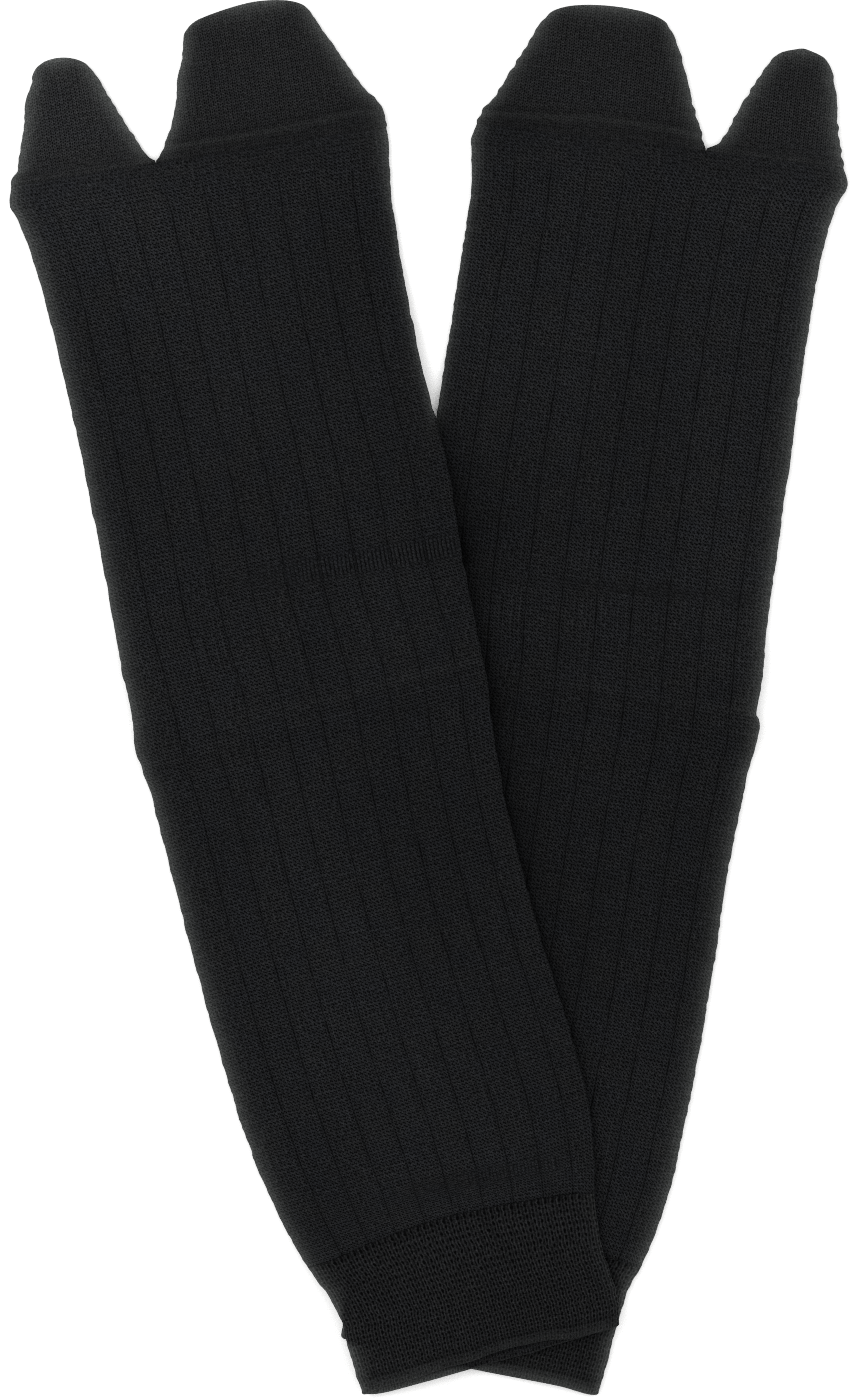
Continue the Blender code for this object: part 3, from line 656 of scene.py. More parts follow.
# Leg and foot: the ribbed tube from the cuff's join to the toe line
ribbedTube = {
    "step": 1.0,            # between sections
    "ribs": 10,             # broad ribs on each face
    "walesPerRib": 9,       # columns of stitches
    "lineSink": 0.3,        # depth of the line between two ribs
    "lineWide": 0.6,
    "lineSqueeze": 0.4,     # how much narrower the sunken column is
    "squeezeWide": 0.5,     # over what distance from the line
    "lineUneven": 0.35,     # how much the lines come and go
    "lineAlike": 0.15,      # how slowly that changes from line to line
    "lineLimits": (0.3, 1.6),
    "linesStop": (5.0, 12.0),      # below the toe line, and over how far they fade
    "linesIn": (4.5, 3.0),         # the same from the folded edges
    "besideLine": (-1.5, -0.95, -0.6, -0.3, 0.0, 0.3, 0.6, 0.95, 1.5),      # points across a line
    "betweenLines": 7,      # and between two of them
    "backPoints": 66,
    "liningRows": 48,
    "bigToeAt": (12.0, 3.0),       # how far out the big toe begins, and over how far
    "openStart": 0.4,       # the shares over which a band of long stitches opens
    "openGrow": 0.8,
    "openFirst": 0.45,
    "openEnd": 0.05,
    # Painted highlight on crease lifts and seam ridges, painted shade in the dips below them, and a dark
    # line along the join, partly painted shade in its groove
    "paintedLiftHighlight": 0.12,
    "paintedDipShade": 0.8,
    "joinDark": 0.25,
    "joinDarkWide": 0.6,
    "rimSoft": 0.5,
    "toesSoft": 0.4,
    "toesSoftAt": (-16.0, 16.0),
}


def lineShift(sock, along):      # how far right the lines between ribs lie, as a share of the width
    leg = 1 - rise(along, sock["heelLine"], sock["heelReach"])
    return sock["footShift"] + (sock["legShift"] - sock["footShift"]) * leg


def ribPlace(sock, along, across):      # 4 on the fourth line between ribs, 4.5 half way to the next
    half, ribs = halfWidth(sock, along), ribbedTube["ribs"]
    place = ribs * ((across + half) / (2 * half) - lineShift(sock, along))
    fromLine = place - np.clip(np.round(place), 1, ribs - 1)
    return place, fromLine, fromLine * 2 * half / ribs


def lineStrength(sock, along, across):      # the lines stop below the toes, and are uneven
    toeLine = sock["lay"][-1][0]
    ripple = swellAt(sock["ripples"], ribbedTube["lineAlike"] * across, along)
    strength = np.clip(1 + ribbedTube["lineUneven"] * ripple, *ribbedTube["lineLimits"])
    return rise(toeLine - along, *ribbedTube["linesStop"]) * strength


def ribLines(sock, along, across):      # 1 in the middle of a sunken line, 0 away from it
    distance = ribPlace(sock, along, across)[2]
    return hump(distance, ribbedTube["lineWide"]) * lineStrength(sock, along, across)


def ribbedWales(sock, along, across):
    # Eight plain wales to a rib, and a narrow sunken one in each line
    place, fromLine, distance = ribPlace(sock, along, across)
    squeeze = ribbedTube["lineSqueeze"] * (0.5 * np.tanh(distance / ribbedTube["squeezeWide"]) - fromLine)
    return ribbedTube["walesPerRib"] * place + 0.5 + squeeze


def ribbedRow(sock, along, left, right):
    shift, width, ribs = lineShift(sock, along), right - left, ribbedTube["ribs"]
    beside, count = np.array(ribbedTube["besideLine"]), ribbedTube["betweenLines"]
    start, end = flatEnds(left, right, cloth["foldHigh"])
    columns = []
    for rib in range(ribs):
        first, last = rib == 0, rib == ribs - 1
        before = start if first else left + width * (rib / ribs + shift) + beside[-1]
        after = end if last else left + width * ((rib + 1) / ribs + shift) + beside[0]
        t = (np.arange(count) + (0 if first else 1)) / (count if first or last else count + 1)
        columns.append(before + (after - before) * t)
        if not last:
            columns.append(after - beside[0] + beside)
    return np.concatenate(columns, axis=1)


def bandPlace(sock, band, along, across):      # the share of the way along a band, and how far above it
    share = (across + halfWidth(sock, along)) / (2 * halfWidth(sock, along))
    (startShare, startAlong), (endShare, endAlong) = band["start"], band["end"]
    t = (share - startShare) / (endShare - startShare)
    return t, along - (startAlong + (endAlong - startAlong) * t)


def creaseRelief(sock, along, across):      # (lift, dip) of the creases across the front
    lift = np.zeros(np.shape(along))
    dip = np.zeros(np.shape(along))
    for crease in sock["creases"]:
        t, above = bandPlace(sock, crease, along, across)
        ends = softStep(t / cloth["creaseEnd"]) * softStep((1 - t) / cloth["creaseEnd"])
        lift += crease["lift"] * hump(above, crease["wide"]) * ends
        dip += crease["dip"] * hump(above + crease["below"], crease["wide"]) * ends
    return lift, dip


def longStitches(sock, along, across):
    total = np.zeros(np.shape(along))
    first = ribbedTube["openFirst"]
    for band in sock["longStitches"]:
        t, above = bandPlace(sock, band, along, across)
        above = above + band["sag"] * np.sin(np.pi * np.clip(t, 0, 1))
        starts = softStep(t / ribbedTube["openStart"])
        starts = starts * (first + (1 - first) * softStep(t / ribbedTube["openGrow"]))
        ends = softStep((1 - t) / ribbedTube["openEnd"] + 0.5)
        total += band["open"] * np.exp(-(above / band["half"]) ** 4) * starts * ends
    return total


def makeLegFoot(sock, material):
    cuffLine, toeLine = sock["cuffLine"], sock["lay"][-1][0]
    sections = int(round((toeLine - cuffLine) / ribbedTube["step"]))
    base = np.linspace(cuffLine, toeLine, sections + 1)[:, None]
    left, right = foldedEdges(sock, base)
    front = ribbedRow(sock, base, left, right)
    back = evenRow(left, right, ribbedTube["backPoints"], cloth["foldLow"])
    rings = Rings(sock, cloth, left, right, front, back)
    across, onFront = rings.across, rings.onFront
    fromJoin, along = base - cuffLine, bowed(sock, base, rings.share)
    lines = ribLines(sock, np.maximum(along, cuffLine), across)
    lift, dip = creaseRelief(sock, along, across)
    bigRidge, bigHollow, _ = seamRelief(sock, "bigToe", along - toeLine, across)
    ridge, hollow, _ = seamRelief(sock, "fourToes", along - toeLine, across)
    onBigToe = rise(sock["outerSide"] * across, *ribbedTube["bigToeAt"])
    ridge = bigRidge * onBigToe + ridge * (1 - onBigToe)
    dip = dip + bigHollow * onBigToe + hollow * (1 - onBigToe)
    relief = clothSwell(sock, along, across) + lift + ridge - dip
    relief = relief - ribbedTube["lineSink"] * lines - joinGroove(fromJoin)
    pitch = (right - left) / (ribbedTube["ribs"] * ribbedTube["walesPerRib"])
    knit = rings.knit(ribbedWales(sock, along, across), pitch, base / courses["body"])
    rim = paintedRimSheen(sock, along, across, rings.toSide)
    joinDark = ribbedTube["joinDark"] * hump(fromJoin, ribbedTube["joinDarkWide"])
    toToes = rise(base - toeLine, *ribbedTube["toesSoftAt"])
    # Painted sheen at the edges and painted highlight on lifts and seam ridges, painted shade in dips and
    # along the join, painted light and shadow in the nap tone
    tones = {
        "paleAndPaintedHighlight": np.clip(rim + ribbedTube["paintedLiftHighlight"] * (lift + ridge) * onFront, 0, 1),
        "darkJoinAndPaintedShade": np.clip((ribbedTube["paintedDipShade"] * dip + joinDark) * onFront, 0, 1),
        "line": lineStrength(sock, along, across) * rise(rings.toSide, *ribbedTube["linesIn"]),
        "open": longStitches(sock, along, across) * onFront,
        "soft": np.maximum(ribbedTube["rimSoft"] * rim, ribbedTube["toesSoft"] * toToes),
        "napAndPaintedLightTone": napAndPaintedLightAt(sock, along, across) * onFront,
    }
    rows = spreadRows(0, len(base) - 1, ribbedTube["liningRows"])
    shell = Shell()
    outer, lining = shell.addBoth(rings, along, rings.up + relief * onFront, knit, tones, rows)
    shell.close(outer, lining, tipped=False)
    return shell.build(f"{sock['name']}Leg", material)


# Cuff: the coarser welt at the top of the leg, with a rolled hem
welt = {
    "step": 0.7,
    "start": 0.4,           # the first section's distance from the hem
    "pairs": 43,            # of one plain and one sunken column, on each face
    "frontPoints": 170,
    "backPoints": 80,
    "hemRows": 8,           # the lining keeps every row so near the hem
    "liningRows": 12,
    "roll": 0.35,
    "rollWide": 3.6,
    "rollDark": 0.3,        # the shadow under the roll
    "rollDarkAt": 4.2,
    "rollDarkWide": 0.8,
    "hemReach": 12.0,
    "lip": 0.55,            # how far the rounded hem bulges
    "lipShares": (0.2, 0.5, 0.8),
    "paleAndPaintedHighlight": 0.12,           # painted sheen along its own edges, also over the lower sock
    "rimSoft": 0.45,
    "hemSoft": 0.45,
    "hemSoftTo": (1.5, 2.5),       # where it begins to end, and over how far
    # painted sheen on the lining near the hem
    "paintedLiningSheen": 0.9,
    "liningSoft": 0.4,
    "holesTo": (1.0, 1.6),         # the dark holes beside the join, by their distance from it
    "holesStart": (0.0, 0.1),      # and by their share of the width
    "holesStop": (0.86, 0.2),
}


def makeCuff(sock, material):
    cuffLine, hemStart = sock["cuffLine"], welt["start"]
    sections = int(round((cuffLine - hemStart) / welt["step"]))
    base = np.linspace(hemStart, cuffLine, sections + 1)[:, None]
    left, right = foldedEdges(sock, base)
    front = evenRow(left, right, welt["frontPoints"], cloth["foldHigh"])
    back = evenRow(left, right, welt["backPoints"], cloth["foldLow"])
    rings = Rings(sock, cloth, left, right, front, back)
    across, onFront, share = rings.across, rings.onFront, rings.share
    fromJoin, ownEdge = cuffLine - base, base - hemStart
    frontHem, backHem = (fromTable(sock[key], 1, share) for key in ("frontHem", "backHem"))
    layer = softStep((onFront - rings.onBack) / 2 + 0.5)
    toHem = 1 - rise(ownEdge, 0.0, welt["hemReach"])
    along = bowed(sock, base, share) + (frontHem * layer + backHem * (1 - layer)) * toHem
    toHemEdge = along - hemStart + welt["lip"] - np.minimum(frontHem, backHem) * toHem
    rolled = np.sin(np.pi * np.clip(base / welt["rollWide"], 0, 1))
    relief = clothSwell(sock, along, across) + welt["roll"] * rolled - joinGroove(fromJoin)
    raised = rings.up + relief * onFront
    pitch = (right - left) / welt["pairs"]
    knit = rings.knit((across - left) / pitch, pitch, base / courses["cuff"])
    rim = paintedRimSheen(sock, along, across, np.minimum(rings.toSide, toHemEdge))
    ownRim = np.exp(-np.minimum(ownEdge, rings.toSide) / paintedEdgeSheen["wide"])
    hemSoft = 1 - rise(ownEdge, *welt["hemSoftTo"])
    holes = (1 - rise(fromJoin, *welt["holesTo"])) * rise(share, *welt["holesStart"])
    holes = holes * (1 - rise(share, *welt["holesStop"]))
    # Painted sheen along the edges, and a painted shadow under the rolled hem
    tones = {
        "paleAndPaintedHighlight": np.maximum(rim, welt["paleAndPaintedHighlight"] * ownRim),
        "soft": np.maximum(welt["rimSoft"] * rim, welt["hemSoft"] * hemSoft),
        "darkJoinAndPaintedShade": welt["rollDark"] * hump(base - welt["rollDarkAt"], welt["rollDarkWide"]) * onFront,
        "join": holes,
        "napAndPaintedLightTone": napAndPaintedLightAt(sock, along, across) * onFront,
    }
    near = welt["hemRows"]
    rows = np.concatenate((np.arange(near), spreadRows(near, len(base) - 1, welt["liningRows"])))
    # Painted sheen on the lining near the hem's edge
    liningRim = paintedRimSheen(sock, along[rows], across[rows], toHemEdge[rows])
    liningTones = {"paleAndPaintedHighlight": welt["paintedLiningSheen"] * liningRim, "soft": welt["liningSoft"]}
    shell = Shell()
    outer, lining = shell.addBoth(rings, along, raised, knit, tones, rows, liningTones)
    inside, insideUp = rings.lining()
    lipPoints, lipKnit = [], []
    for t in welt["lipShares"]:      # the rounded edge of each layer
        bulge = welt["lip"] * math.sin(math.pi * t)
        lipAcross = across[:1] * (1 - t) + inside[:1] * t
        lipUp = raised[:1] * (1 - t) + insideUp[:1] * t
        lipPoints.append(setDown(sock, along[:1] - bulge, lipAcross, lipUp))
        lipKnit.append(knit[:1] - (0.0, t))
    lipTones = {name: tone[:1] for name, tone in tones.items()}
    lip = shell.addRings(np.concatenate(lipPoints), np.concatenate(lipKnit), lipTones)
    shell.skin(outer)
    shell.skin(lining, outward=False)
    shell.edge(outer, lip, (0, 0))
    shell.skin(lip, outward=False)
    shell.edge(lip, lining, (-1, 0))
    shell.edge(outer, lining, (-1, -1), toToes=True)
    return shell.build(f"{sock['name']}Cuff", material)


def makeToes(sock, toes, material):      # toes is "bigToe" or "fourToes"
    outline, count = sock[toes], pocket["frontPoints"][toes]
    toeLine, tipAt = sock["lay"][-1][0], outline[-1][0]
    radius = pocket["thick"] / 2
    body = np.linspace(0, tipAt - radius, int(tipAt / pocket["step"]))
    turns = np.radians(np.linspace(0, pocket["noseTurn"], pocket["noseRings"])[1:])
    beyond = np.concatenate((body, tipAt - radius + radius * np.sin(turns)))[:, None]
    toTip = np.clip((beyond - (tipAt - radius)) / radius, 0, 1)
    squash = np.sqrt(1 - toTip ** 2)
    inner = 1 if abs(outline[0][2]) < abs(outline[0][1]) else -1      # the side of the notch
    notch = outline[0][2] if inner == 1 else outline[0][1]
    edges = []
    for side, column in ((-1, 1), (1, 2)):
        parted = softStep(beyond / pocket["notchWide"]) if side == inner else 1.0
        stray = wander(sock, toeLine + beyond, side, pocket["edgeFuzz"]) * parted * (1 - toTip)
        edges.append(fromTable(outline, column, beyond) + stray)
    left, right = edges
    front = evenRow(left, right, count, pocket["foldHigh"])
    back = evenRow(left, right, count + pocket["moreBehind"], pocket["foldLow"])
    rings = Rings(sock, pocket, left, right, front, back, squash)
    across, onFront = rings.across, rings.onFront
    bulge = pocket["tipBulge"] * rise(beyond, tipAt - pocket["tipReach"], pocket["tipReach"])
    along = toeLine + beyond + bulge * np.sin(np.pi * np.clip(rings.share, 0, 1))
    ridge, dip, fromSeam = seamRelief(sock, toes, beyond, across)
    relief = clothSwell(sock, along, across) + ridge - dip
    rowsUp = toeLine / courses["body"] + beyond / courses["toe"]
    knit = rings.knit(across / pocket["wale"], pocket["wale"], rowsUp)
    byNotch = hump(across - notch, pocket["notchAcross"]) * hump(beyond, pocket["notchBeyond"])
    byLine = 1 - softStep(beyond / pocket["linePaleReach"])
    rim = paintedRimSheen(sock, along, across, np.minimum(rings.toSide, tipAt - beyond))
    rim = rim * (1 - pocket["notchDark"] * byNotch)
    lineSoft = pocket["lineSoft"] * (1 - softStep(beyond / pocket["lineSoftReach"]))
    holes = hump(fromSeam - pocket["holesAbove"], pocket["holesWide"])
    # Painted sheen at the edges, painted highlight on the seam's ridge and painted shade in the hollow below
    # it
    tones = {
        "paleAndPaintedHighlight": np.clip(rim + pocket["paintedSeamHighlight"] * ridge * onFront, 0, 1),
        "darkJoinAndPaintedShade": np.clip(pocket["paintedDipShade"] * dip * onFront, 0, 1),
        "soft": np.maximum(pocket["rimSoft"] * rim, lineSoft),
        "join": pocket["holesDark"] * pocket["seamLift"][toes] * holes * onFront,
        "napAndPaintedLightTone": (napAndPaintedLightAt(sock, along, across) - pocket["linePale"] * byLine) * onFront,
    }
    last = int(np.searchsorted(beyond[:, 0], tipAt - pocket["wall"] - radius))
    rows = spreadRows(0, last, pocket["liningRows"])
    shell = Shell()
    outer, lining = shell.addBoth(rings, along, rings.up + relief * onFront * squash, knit, tones, rows)
    shell.close(outer, lining, tipped=True)
    return shell.build(sock["name"] + toes[0].upper() + toes[1:], material)


def makeHeel(sock, material):
    reach, radius = sock["heelReach"], heelPocket["thick"] / 2
    share = np.concatenate([np.linspace(*part) for part in heelPocket["sections"]])[:, None]
    half = fromTable(heelPocket["outline"], 1, share)
    front, back = (
        evenRow(-half, half, heelPocket[points], heelPocket["foldHigh"])
        for points in ("frontPoints", "backPoints")
    )
    toTip = np.clip((share * reach - reach + radius) / radius, 0, 1)
    squash = np.sqrt(1 - (heelPocket["tipFlat"] * toTip) ** 2)
    rings = Rings(sock, heelPocket, -half, half, front, back, squash)
    across = rings.across
    along = sock["heelLine"] + share * reach + 0 * across
    knit = rings.knit(across / pocket["wale"], pocket["wale"], along[:, :1] / courses["toe"])
    goreAt = half[:1] - share * reach * heelPocket["goreSlope"]
    gore = hump(np.abs(across) - goreAt, heelPocket["goreWide"])
    edge = hump(half - np.abs(across), heelPocket["edgeWide"])
    # Painted highlight along the pocket's edges, and a paler line at each gore
    tones = {"paleAndPaintedHighlight": np.clip(heelPocket["gorePale"] * gore + heelPocket["paintedEdgeHighlight"] * edge, 0, 1)}
    rows = spreadRows(0, len(share) - 1 - heelPocket["liningStops"], heelPocket["liningRows"])
    shell = Shell()
    outer, lining = shell.addBoth(rings, along, rings.up, knit, tones, rows)
    shell.close(outer, lining, tipped=True)
    return shell.build(f"{sock['name']}Heel", material)


# Materials. Nodes are made by short helpers: a value is a number, a colour or another node's output.
def put(tree, socket, value):
    if isinstance(value, bpy.types.NodeSocket):
        tree.links.new(value, socket)
    else:
        socket.default_value = (*value, 1.0) if isinstance(value, tuple) else value


def calc(tree, operation, *values):
    node = tree.nodes.new("ShaderNodeMath")
    node.operation = operation
    for socket, value in zip(node.inputs, values):
        put(tree, socket, value)
    return node.outputs[0]


def wave(tree, turns):      # 1 where turns is whole, 0 half way between
    around = calc(tree, "COSINE", calc(tree, "MULTIPLY", turns, 2 * math.pi))
    return calc(tree, "MULTIPLY_ADD", around, 0.5, 0.5)


def peak(tree, turns, at, narrow):      # the same, at another place in the turn and narrower
    return calc(tree, "POWER", wave(tree, calc(tree, "SUBTRACT", turns, at)), narrow)


def mixColours(tree, share, first, second, limited=True):
    node = tree.nodes.new("ShaderNodeMix")
    node.data_type = "RGBA"
    node.clamp_factor = limited
    put(tree, node.inputs["Factor"], share)
    put(tree, node.inputs[6], first)
    put(tree, node.inputs[7], second)
    return node.outputs[2]


def blend(tree, share, first, second):
    return calc(tree, "ADD", calc(tree, "MULTIPLY", first, calc(tree, "SUBTRACT", 1.0, share)),
                calc(tree, "MULTIPLY", second, share))


def noise(tree, place, scale, detail=2.0):
    node = tree.nodes.new("ShaderNodeTexNoise")
    put(tree, node.inputs["Vector"], place)
    put(tree, node.inputs["Scale"], scale)
    put(tree, node.inputs["Detail"], detail)
    return node.outputs["Fac"], node.outputs["Color"]


def takeApart(tree, vector):
    node = tree.nodes.new("ShaderNodeSeparateXYZ")
    put(tree, node.inputs[0], vector)
    return node.outputs


def tone(tree, name):
    node = tree.nodes.new("ShaderNodeAttribute")
    node.attribute_name = name
    return node.outputs["Fac"]


def withHoles(tree, wale, course, holes, shade):      # 1 on the yarn, 0 in the dark holes of a stitch
    for atWale, atCourse, narrow, short, depth in holes:
        hole = calc(tree, "MULTIPLY", peak(tree, wale, atWale, narrow), peak(tree, course, atCourse, short))
        shade = calc(tree, "MULTIPLY_ADD", hole, depth, shade)
    return calc(tree, "SUBTRACT", 1.0, calc(tree, "MINIMUM", shade, 1.0))


def plainStitches(tree, wale, course, look):
    # Each stitch shows a dark hole beside either leg, joined where the yarn is pulled tight
    at, narrow, depth = look["gap"]
    gap = calc(tree, "MULTIPLY", peak(tree, wale, at, narrow), depth)
    return withHoles(tree, wale, course, look["holes"], gap)


def weltStitches(tree, wale, course, look):
    # A drop-shaped hole between the two long legs of each stitch, and a sunken column beside it
    at, narrow, depth = look["gap"]
    uneven = calc(tree, "SUBTRACT", course, look["gapCourse"])
    uneven = calc(tree, "MULTIPLY_ADD", wave(tree, uneven), look["gapUneven"], depth)
    sunken = calc(tree, "MULTIPLY", peak(tree, wale, at, narrow), uneven)
    legs = wave(tree, calc(tree, "MULTIPLY_ADD", wale, 2.0, -2 * look["legAt"]))
    lit = calc(tree, "MULTIPLY_ADD", legs, look["legLight"], look["legGround"])
    return calc(tree, "MULTIPLY", lit, withHoles(tree, wale, course, look["holes"], sunken))


wool = {
    "yarnCool": (0.0127, 0.0141, 0.0170),
    "yarnWarm": (0.0154, 0.0153, 0.0149),
    "deepColour": (0.0004, 0.0004, 0.0005),
    # The painted highlight's colours, on the yarn and in the holes
    "paintedHighlightYarn": (0.073, 0.076, 0.074),
    "paintedHighlightDeep": (0.025, 0.027, 0.026),
    "linePaintedShade": 0.48,       # painted shade in the sunken line between ribs
    "lineNarrow": 75.0,
    "darkest": 0.93,
    "driftScale": 0.11,     # the slow drift from cool to warm, which also bends the rows
    "stray": 1.0,
    "eachScale": 0.95,      # about one stitch
    "eachDetail": 1.0,
    "askew": 0.7,
    "vary": 0.6,
    "fibreScale": 3.8,
    "fibre": 1.5,
    "ground": -0.06,
    "contrast": 0.9,
    "lowest": 0.02,
    "highest": 1.5,
    "shadeCurve": 2.2,
    "softLevel": 0.78,      # where fluff hides the stitches
    "longNarrow": 3.5,      # the gaps between long stitches
    "longLevel": 1.05,
    "joinNarrow": 2.6,      # the holes along a join
    "rough": 0.97,
    "roughFall": -0.14,
    "bumpStrength": 0.8,
    "bumpHeight": 0.2,
    "specular": 0.03,
    "sheen": 0.02,
    "sheenRough": 0.3,
    "sheenTint": (0.82, 0.88, 0.92),
    "stitches": plainStitches,
    "holes": (      # wale, course, how narrow, how short, depth
        (0.28, 0.20, 4.6, 2.8, 1.0), (0.50, 0.03, 4.6, 2.8, 0.35), (0.70, -0.14, 4.6, 2.8, 0.95),
    ),
    "gap": (0.0, 3.0, 0.0),      # between columns: wale, how narrow, depth
}
plainYarn = {"linePaintedShade": 0.0, "yarnCool": (0.0142, 0.0151, 0.0169), "yarnWarm": (0.0159, 0.0158, 0.0155)}
toeWool = {
    **wool, **plainYarn,
    "holes": ((0.41, 0.73, 4.0, 1.1, 0.85), (0.90, 0.40, 4.0, 1.1, 0.65)),
    "gap": (0.41, 3.0, 0.1),
    "stray": 0.6,
    "askew": 0.35,
    "ground": 0.02,
    "contrast": 0.85,
}
cuffWool = {
    **wool, **plainYarn,
    # the painted highlight along the cuff's edges
    "paintedHighlightYarn": (0.083, 0.086, 0.084),
    "stitches": weltStitches,
    "holes": ((0.88, 0.54, 4.0, 1.8, 1.25), (0.88, 0.36, 9.0, 1.8, 0.8)),
    "gap": (0.38, 3.0, 0.22),
    "gapCourse": 0.2,
    "gapUneven": 0.3,
    "legAt": 0.13,
    "legLight": 0.32,
    "legGround": 0.72,
    "stray": 0.4,
    "askew": 0.45,
    "vary": 0.35,
    "fibreScale": 4.0,
    "fibre": 1.3,
    "ground": 0.085,
    "contrast": 0.78,
}


def stitchHeight(tree, look, uv, wale, course, each):
    stitches = look["stitches"](tree, wale, course, look)
    # Stitches pulled long stand in straight columns with dark gaps between
    columns = calc(tree, "MULTIPLY_ADD", peak(tree, wale, 0.0, look["longNarrow"]), -1.0, look["longLevel"])
    stitches = blend(tree, tone(tree, "open"), stitches, columns)
    stitches = blend(tree, tone(tree, "soft"), stitches, look["softLevel"])
    fibres, _ = noise(tree, uv, look["fibreScale"])
    height = calc(tree, "MULTIPLY_ADD", stitches, look["contrast"], look["ground"])
    height = calc(tree, "MULTIPLY_ADD", calc(tree, "SUBTRACT", each, 0.5), look["vary"], height)
    height = calc(tree, "MULTIPLY_ADD", calc(tree, "SUBTRACT", fibres, 0.5), look["fibre"], height)
    return calc(tree, "MINIMUM", calc(tree, "MAXIMUM", height, look["lowest"]), look["highest"])


def knitColour(tree, look, height, drift, holes, bentWale):
    yarnShare = calc(tree, "POWER", height, look["shadeCurve"])
    yarn = mixColours(tree, drift, look["yarnCool"], look["yarnWarm"])
    colour = mixColours(tree, yarnShare, look["deepColour"], yarn, limited=False)
    # Painted highlight along the edges, crease lifts and seam ridges
    paintedHighlightColour = mixColours(tree, yarnShare, look["paintedHighlightDeep"], look["paintedHighlightYarn"], limited=False)
    colour = mixColours(tree, tone(tree, "paleAndPaintedHighlight"), colour, paintedHighlightColour)
    # Painted shade in dips, under the rolled hem and in the sunken lines between ribs, with the dark line
    # and holes along a join
    dark = calc(tree, "MAXIMUM", tone(tree, "darkJoinAndPaintedShade"), holes)
    if look["linePaintedShade"]:
        ribTurns = calc(tree, "DIVIDE", calc(tree, "SUBTRACT", bentWale, 0.5), ribbedTube["walesPerRib"])
        linePaintedShade = calc(tree, "MULTIPLY", tone(tree, "line"), look["linePaintedShade"])
        line = calc(tree, "MULTIPLY", peak(tree, ribTurns, 0.0, look["lineNarrow"]), linePaintedShade)
        dark = calc(tree, "MAXIMUM", dark, line)
    colour = mixColours(tree, calc(tree, "MINIMUM", dark, look["darkest"]), colour, look["deepColour"])
    # Lighter or darker by the nap tone, which also holds painted light and painted shadow
    scaled = tree.nodes.new("ShaderNodeVectorMath")
    scaled.operation = "SCALE"
    put(tree, scaled.inputs[0], colour)
    put(tree, scaled.inputs["Scale"], calc(tree, "ADD", tone(tree, "napAndPaintedLightTone"), 1.0))
    return scaled.outputs[0]


def makeKnit(name, look):
    material = bpy.data.materials.new(name)
    material.use_nodes = True
    tree = material.node_tree
    places = tree.nodes.new("ShaderNodeUVMap")
    places.uv_map = "Knit"
    uv = places.outputs["UV"]
    drift, driftColour = noise(tree, uv, look["driftScale"])
    each, eachColour = noise(tree, uv, look["eachScale"], look["eachDetail"])
    place, bends, jumps = (takeApart(tree, vector) for vector in (uv, driftColour, eachColour))
    bent, strayed = [], []
    for k in range(2):      # rows and columns bend a little, and single stitches sit askew
        bend = calc(tree, "SUBTRACT", bends[k], 0.5)
        bent.append(calc(tree, "MULTIPLY_ADD", bend, look["stray"], place[k]))
        jump = calc(tree, "SUBTRACT", jumps[k], 0.5)
        strayed.append(calc(tree, "MULTIPLY_ADD", jump, look["askew"], bent[k]))
    wale, course = strayed
    height = stitchHeight(tree, look, uv, wale, course, each)
    # Along a join a dark hole lies between every two wales
    holes = calc(tree, "MULTIPLY", peak(tree, wale, 0.0, look["joinNarrow"]), tone(tree, "join"))
    bumps = tree.nodes.new("ShaderNodeBump")
    put(tree, bumps.inputs["Strength"], look["bumpStrength"])
    put(tree, bumps.inputs["Distance"], look["bumpHeight"] * metres)
    put(tree, bumps.inputs["Height"], calc(tree, "SUBTRACT", height, holes))
    shader = tree.nodes["Principled BSDF"]
    for socket, value in (
        ("Base Color", knitColour(tree, look, height, drift, holes, bent[0])),
        ("Roughness", calc(tree, "MULTIPLY_ADD", height, look["roughFall"], look["rough"])),
        ("Normal", bumps.outputs["Normal"]),
        ("Specular IOR Level", look["specular"]),
        ("Sheen Weight", look["sheen"]),
        ("Sheen Roughness", look["sheenRough"]),
        ("Sheen Tint", look["sheenTint"]),
    ):
        put(tree, shader.inputs[socket], value)
    print("knit made:", name)
    return material


ribbedKnit = makeKnit("ribbedKnit", wool)
toeKnit = makeKnit("toeKnit", toeWool)
cuffKnit = makeKnit("cuffKnit", cuffWool)

made = {}
for sock in (underSock, overSock):
    name = sock["name"]
    made[f"{name}_leg"] = makeLegFoot(sock, ribbedKnit)
    made[f"{name}_cuff"] = makeCuff(sock, cuffKnit)
    made[f"{name}_big_toe"] = makeToes(sock, "bigToe", toeKnit)
    made[f"{name}_four_toes"] = makeToes(sock, "fourToes", toeKnit)
    made[f"{name}_heel"] = makeHeel(sock, toeKnit)

# Each piece hangs from the root body, and the CAD parts it takes the place of are hidden; the leg also
# stands in for the foot
for node, thing in made.items():
    part = node.split("_", 1)[1]
    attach(thing, "root")
    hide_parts(*((node, node.replace("leg", "foot")) if part == "leg" else (node,)))
print("pieces made:", len(made))


# The table, the light and the camera. Places and sizes of lights are in metres.
studio = {
    "tableSize": 6.0,
    "tableColour": (0.93, 0.93, 0.925),
    "tableGrain": 0.985,
    "grainScale": 40.0,
    "grainDetail": 4.0,
    "tableRough": 0.85,
    "tableSpecular": 0.2,
    "skyStrength": 1.2,
    "softboxes": (      # name, place, side of the square, power
        ("keyLight", (-0.9, 0.5, 1.0), 0.9, 8.8),
        ("sideLight", (1.1, 0.2, 0.9), 0.8, 4.4),
    ),
    "lens": 150.0,
    "sensor": 36.0,
    "frameHeight": 436.8,
    "frameMiddle": (0.65, -0.82),
    "clothHeight": 4.0,
    "clip": (0.05, 50.0),
    "pixelFilter": 1.0,      # as crisp as the photograph
}


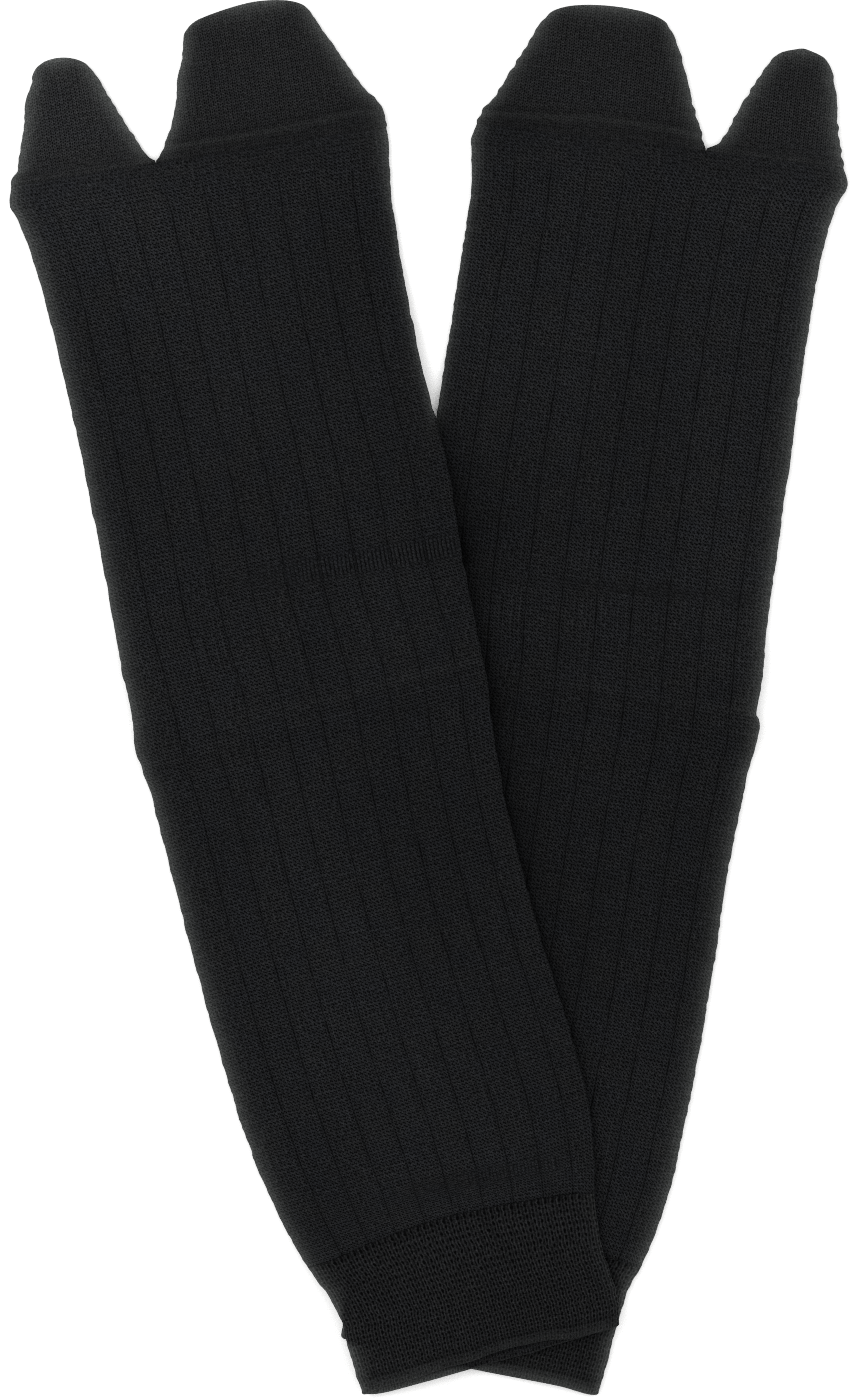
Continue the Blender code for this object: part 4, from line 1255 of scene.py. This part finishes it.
def makeTable():
    half = studio["tableSize"] / 2
    mesh = bpy.data.meshes.new("tableTop")
    corners = [(-half, -half, 0), (half, -half, 0), (half, half, 0), (-half, half, 0)]
    mesh.from_pydata(corners, [], [(0, 1, 2, 3)])
    table = bpy.data.objects.new("tableTop", mesh)
    bpy.context.scene.collection.objects.link(table)
    material = bpy.data.materials.new("paleTable")
    material.use_nodes = True
    tree = material.node_tree
    coords = tree.nodes.new("ShaderNodeTexCoord")
    grain, _ = noise(tree, coords.outputs["Object"], studio["grainScale"], studio["grainDetail"])
    darker = tuple(studio["tableGrain"] * c for c in studio["tableColour"])
    shader = tree.nodes["Principled BSDF"]
    put(tree, shader.inputs["Base Color"], mixColours(tree, grain, studio["tableColour"], darker))
    put(tree, shader.inputs["Roughness"], studio["tableRough"])
    put(tree, shader.inputs["Specular IOR Level"], studio["tableSpecular"])
    mesh.materials.append(material)


def makeSoftbox(name, place, side, power):      # aimed at the origin
    light = bpy.data.lights.new(name, "AREA")
    light.shape = "RECTANGLE"
    light.size = light.size_y = side
    light.energy = power
    thing = bpy.data.objects.new(name, light)
    thing.location = place
    x, y, z = place
    thing.rotation_euler = (math.atan2(math.hypot(x, y), z), 0, math.atan2(x, -y))
    bpy.context.scene.collection.objects.link(thing)


def makeCamera():      # straight above, at the distance where the frame holds the pair
    camera = bpy.data.objects.new("camera", bpy.data.cameras.new("camera"))
    camera.data.lens = studio["lens"]
    camera.data.sensor_width = studio["sensor"]
    height = studio["frameHeight"] * studio["lens"] / studio["sensor"] + studio["clothHeight"]
    x, y = studio["frameMiddle"]
    camera.location = (x * metres, y * metres, height * metres)
    camera.data.clip_start, camera.data.clip_end = studio["clip"]
    bpy.context.scene.collection.objects.link(camera)
    bpy.context.scene.camera = camera


makeTable()
world = bpy.data.worlds.new("studioAir")
bpy.context.scene.world = world
world.use_nodes = True
background = world.node_tree.nodes["Background"]
put(world.node_tree, background.inputs["Color"], (1.0, 1.0, 1.0))
put(world.node_tree, background.inputs["Strength"], studio["skyStrength"])
for softbox in studio["softboxes"]:
    makeSoftbox(*softbox)
makeCamera()
bpy.context.scene.view_settings.view_transform = "Standard"
bpy.context.scene.cycles.filter_width = studio["pixelFilter"]
bpy.context.scene.cycles.use_denoising = False      # it would wipe away the fine dark knit
print("studio made")
